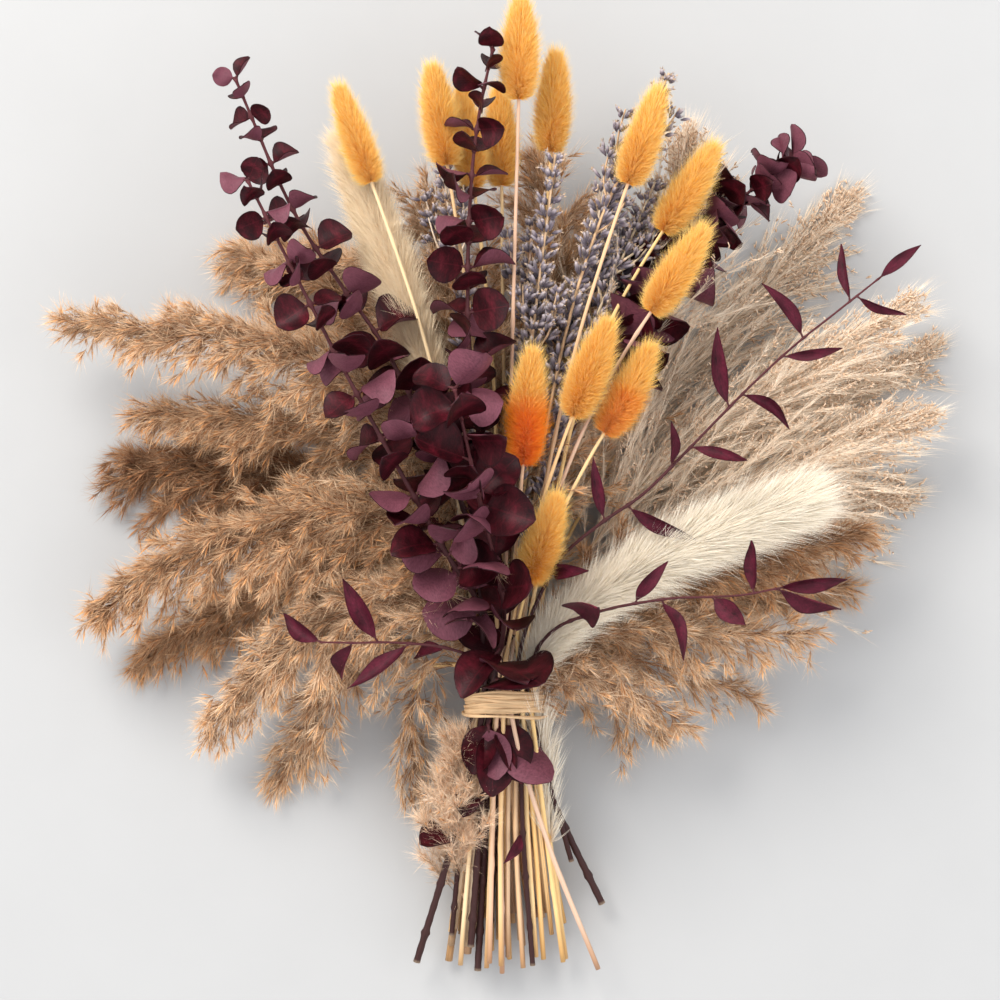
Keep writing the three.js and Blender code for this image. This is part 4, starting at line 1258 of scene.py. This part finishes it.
class FLOWERS_OT_tie(bpy.types.Operator):
    """Winds the raffia round the stems"""

    bl_idname = "flowers.tie"
    bl_label = "Raffia tie"

    def execute(self, context):
        sizes, colours = settings(context)
        look = Look("raffia")
        uv, base = look.uv(), colours.raffia
        bright = tuple(min(1, 1.25 * c) for c in base)
        fibre = look.noise(look.stretched(uv, (260.0, 5.0, 0.0)), 1.0, 3.0)
        patch = look.noise(uv, 9.0, 2.0)
        colour = look.ramp(fibre, [(0.3, toned(base, 0.6)), (0.48, base), (0.68, bright)])
        colour = look.times(colour, look.ramp(patch, [(0.3, grey(0.78)), (0.65, grey(1.0))]))
        m = look.done(colour, 0.6, 0.35, fibre, 0.5)

        rng = seeded("raffia_tie")
        low, high = (np.array(c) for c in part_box("raffia_tie"))
        c, half = (low + high) / 2, (high - low) / 2
        b = Build()
        for i in range(STRANDS):
            wave = rng.uniform(0, 6, 4)
            y = -0.84 + 1.68 * (i + 0.5) / STRANDS
            self.strand(b, c, half, 0.97 - 0.03 * (i % 3), y, rng.uniform(0.5, 0.8) * sizes.raffia / 2,
                        wave, i / (STRANDS + 2),
                        wander=0.0009)
        # one strand lies loose along the lower edge
        self.strand(b, c, half, 1.03, -0.98, 0.0007, rng.uniform(0, 6, 4), 0.93, wander=0.0011)
        b.finish("raffia_tie_strands", m, "tie", "raffia_tie")
        return {"FINISHED"}

    def strand(self, b, c, half, out, y, width, wave, u, wander):
        """One turn of raffia: a flat ribbon, a little wavy and twisted."""
        turn = np.linspace(0, FULL_TURN, 121)
        up = np.array([0, 1.0, 0])[None]
        lift = y * half[1] + wander * np.sin(turn + wave[0]) + wander * 0.35 * np.sin(3 * turn + wave[1])
        r = out + 0.008 * np.sin(5 * turn + wave[2])
        ring = np.stack([c[0] + (half[0] - 0.0005) * r * np.cos(turn), c[1] + lift,
                         c[2] + (half[2] - 0.0005) * r * np.sin(turn)], -1)
        away = unit(np.stack([np.cos(turn) / half[0], 0 * turn, np.sin(turn) / half[2]], -1))
        w = width * (1 + 0.15 * np.sin(4 * turn + wave[3]))
        roll = 0.3 * np.sin(2 * turn + wave[1])[:, None]
        across, thin = up * np.cos(roll) + away * np.sin(roll), away * np.cos(roll) - up * np.sin(roll)
        a = np.linspace(0, FULL_TURN, 8, endpoint=False)
        body = ring[:, None] + across[:, None] * (np.cos(a)[None, :, None] * w[:, None, None])
        body = body + thin[:, None] * (np.sin(a)[None, :, None] * 0.00045)
        us = u + np.linspace(0, 0.05, 8)[None, :]
        vs = np.linspace(0, 1, len(turn))[:, None]
        b.grid(body, mapped(us, vs), closed=True)


class FLOWERS_PT_panel(bpy.types.Panel):
    """Sizes, colours and the pieces of the bunch"""

    bl_idname = "FLOWERS_PT_panel"
    bl_label = "Dried flower bunch"
    bl_space_type = "VIEW_3D"
    bl_region_type = "UI"
    bl_category = "Flowers"

    def draw(self, context):
        layout = self.layout
        for title in ("sizes", "colours"):
            group = getattr(context.scene, "flower_" + title)
            box = layout.box()
            box.label(text=title.capitalize())
            for key in group.bl_rna.properties.keys():
                if key not in HIDDEN:
                    box.prop(group, key)
        for operator in OPERATORS:
            layout.operator(operator.bl_idname)


OPERATORS = (
    FLOWERS_OT_stage,
    FLOWERS_OT_reeds,
    FLOWERS_OT_plumes,
    FLOWERS_OT_panicles,
    FLOWERS_OT_tails,
    FLOWERS_OT_lavender,
    FLOWERS_OT_eucalyptus,
    FLOWERS_OT_narrow,
    FLOWERS_OT_tie,
)
CLASSES = (FLOWERS_PG_sizes, FLOWERS_PG_colours, *OPERATORS, FLOWERS_PT_panel)


def register():
    for c in CLASSES:
        bpy.utils.register_class(c)
    bpy.types.Scene.flower_sizes = PointerProperty(type=FLOWERS_PG_sizes)
    bpy.types.Scene.flower_colours = PointerProperty(type=FLOWERS_PG_colours)


def unregister():
    del bpy.types.Scene.flower_colours
    del bpy.types.Scene.flower_sizes
    for c in reversed(CLASSES):
        bpy.utils.unregister_class(c)


def main():
    register()
    for operator in OPERATORS:
        group, name = operator.bl_idname.split(".")
        getattr(getattr(bpy.ops, group), name)()


if __name__ == "__main__":
    main()
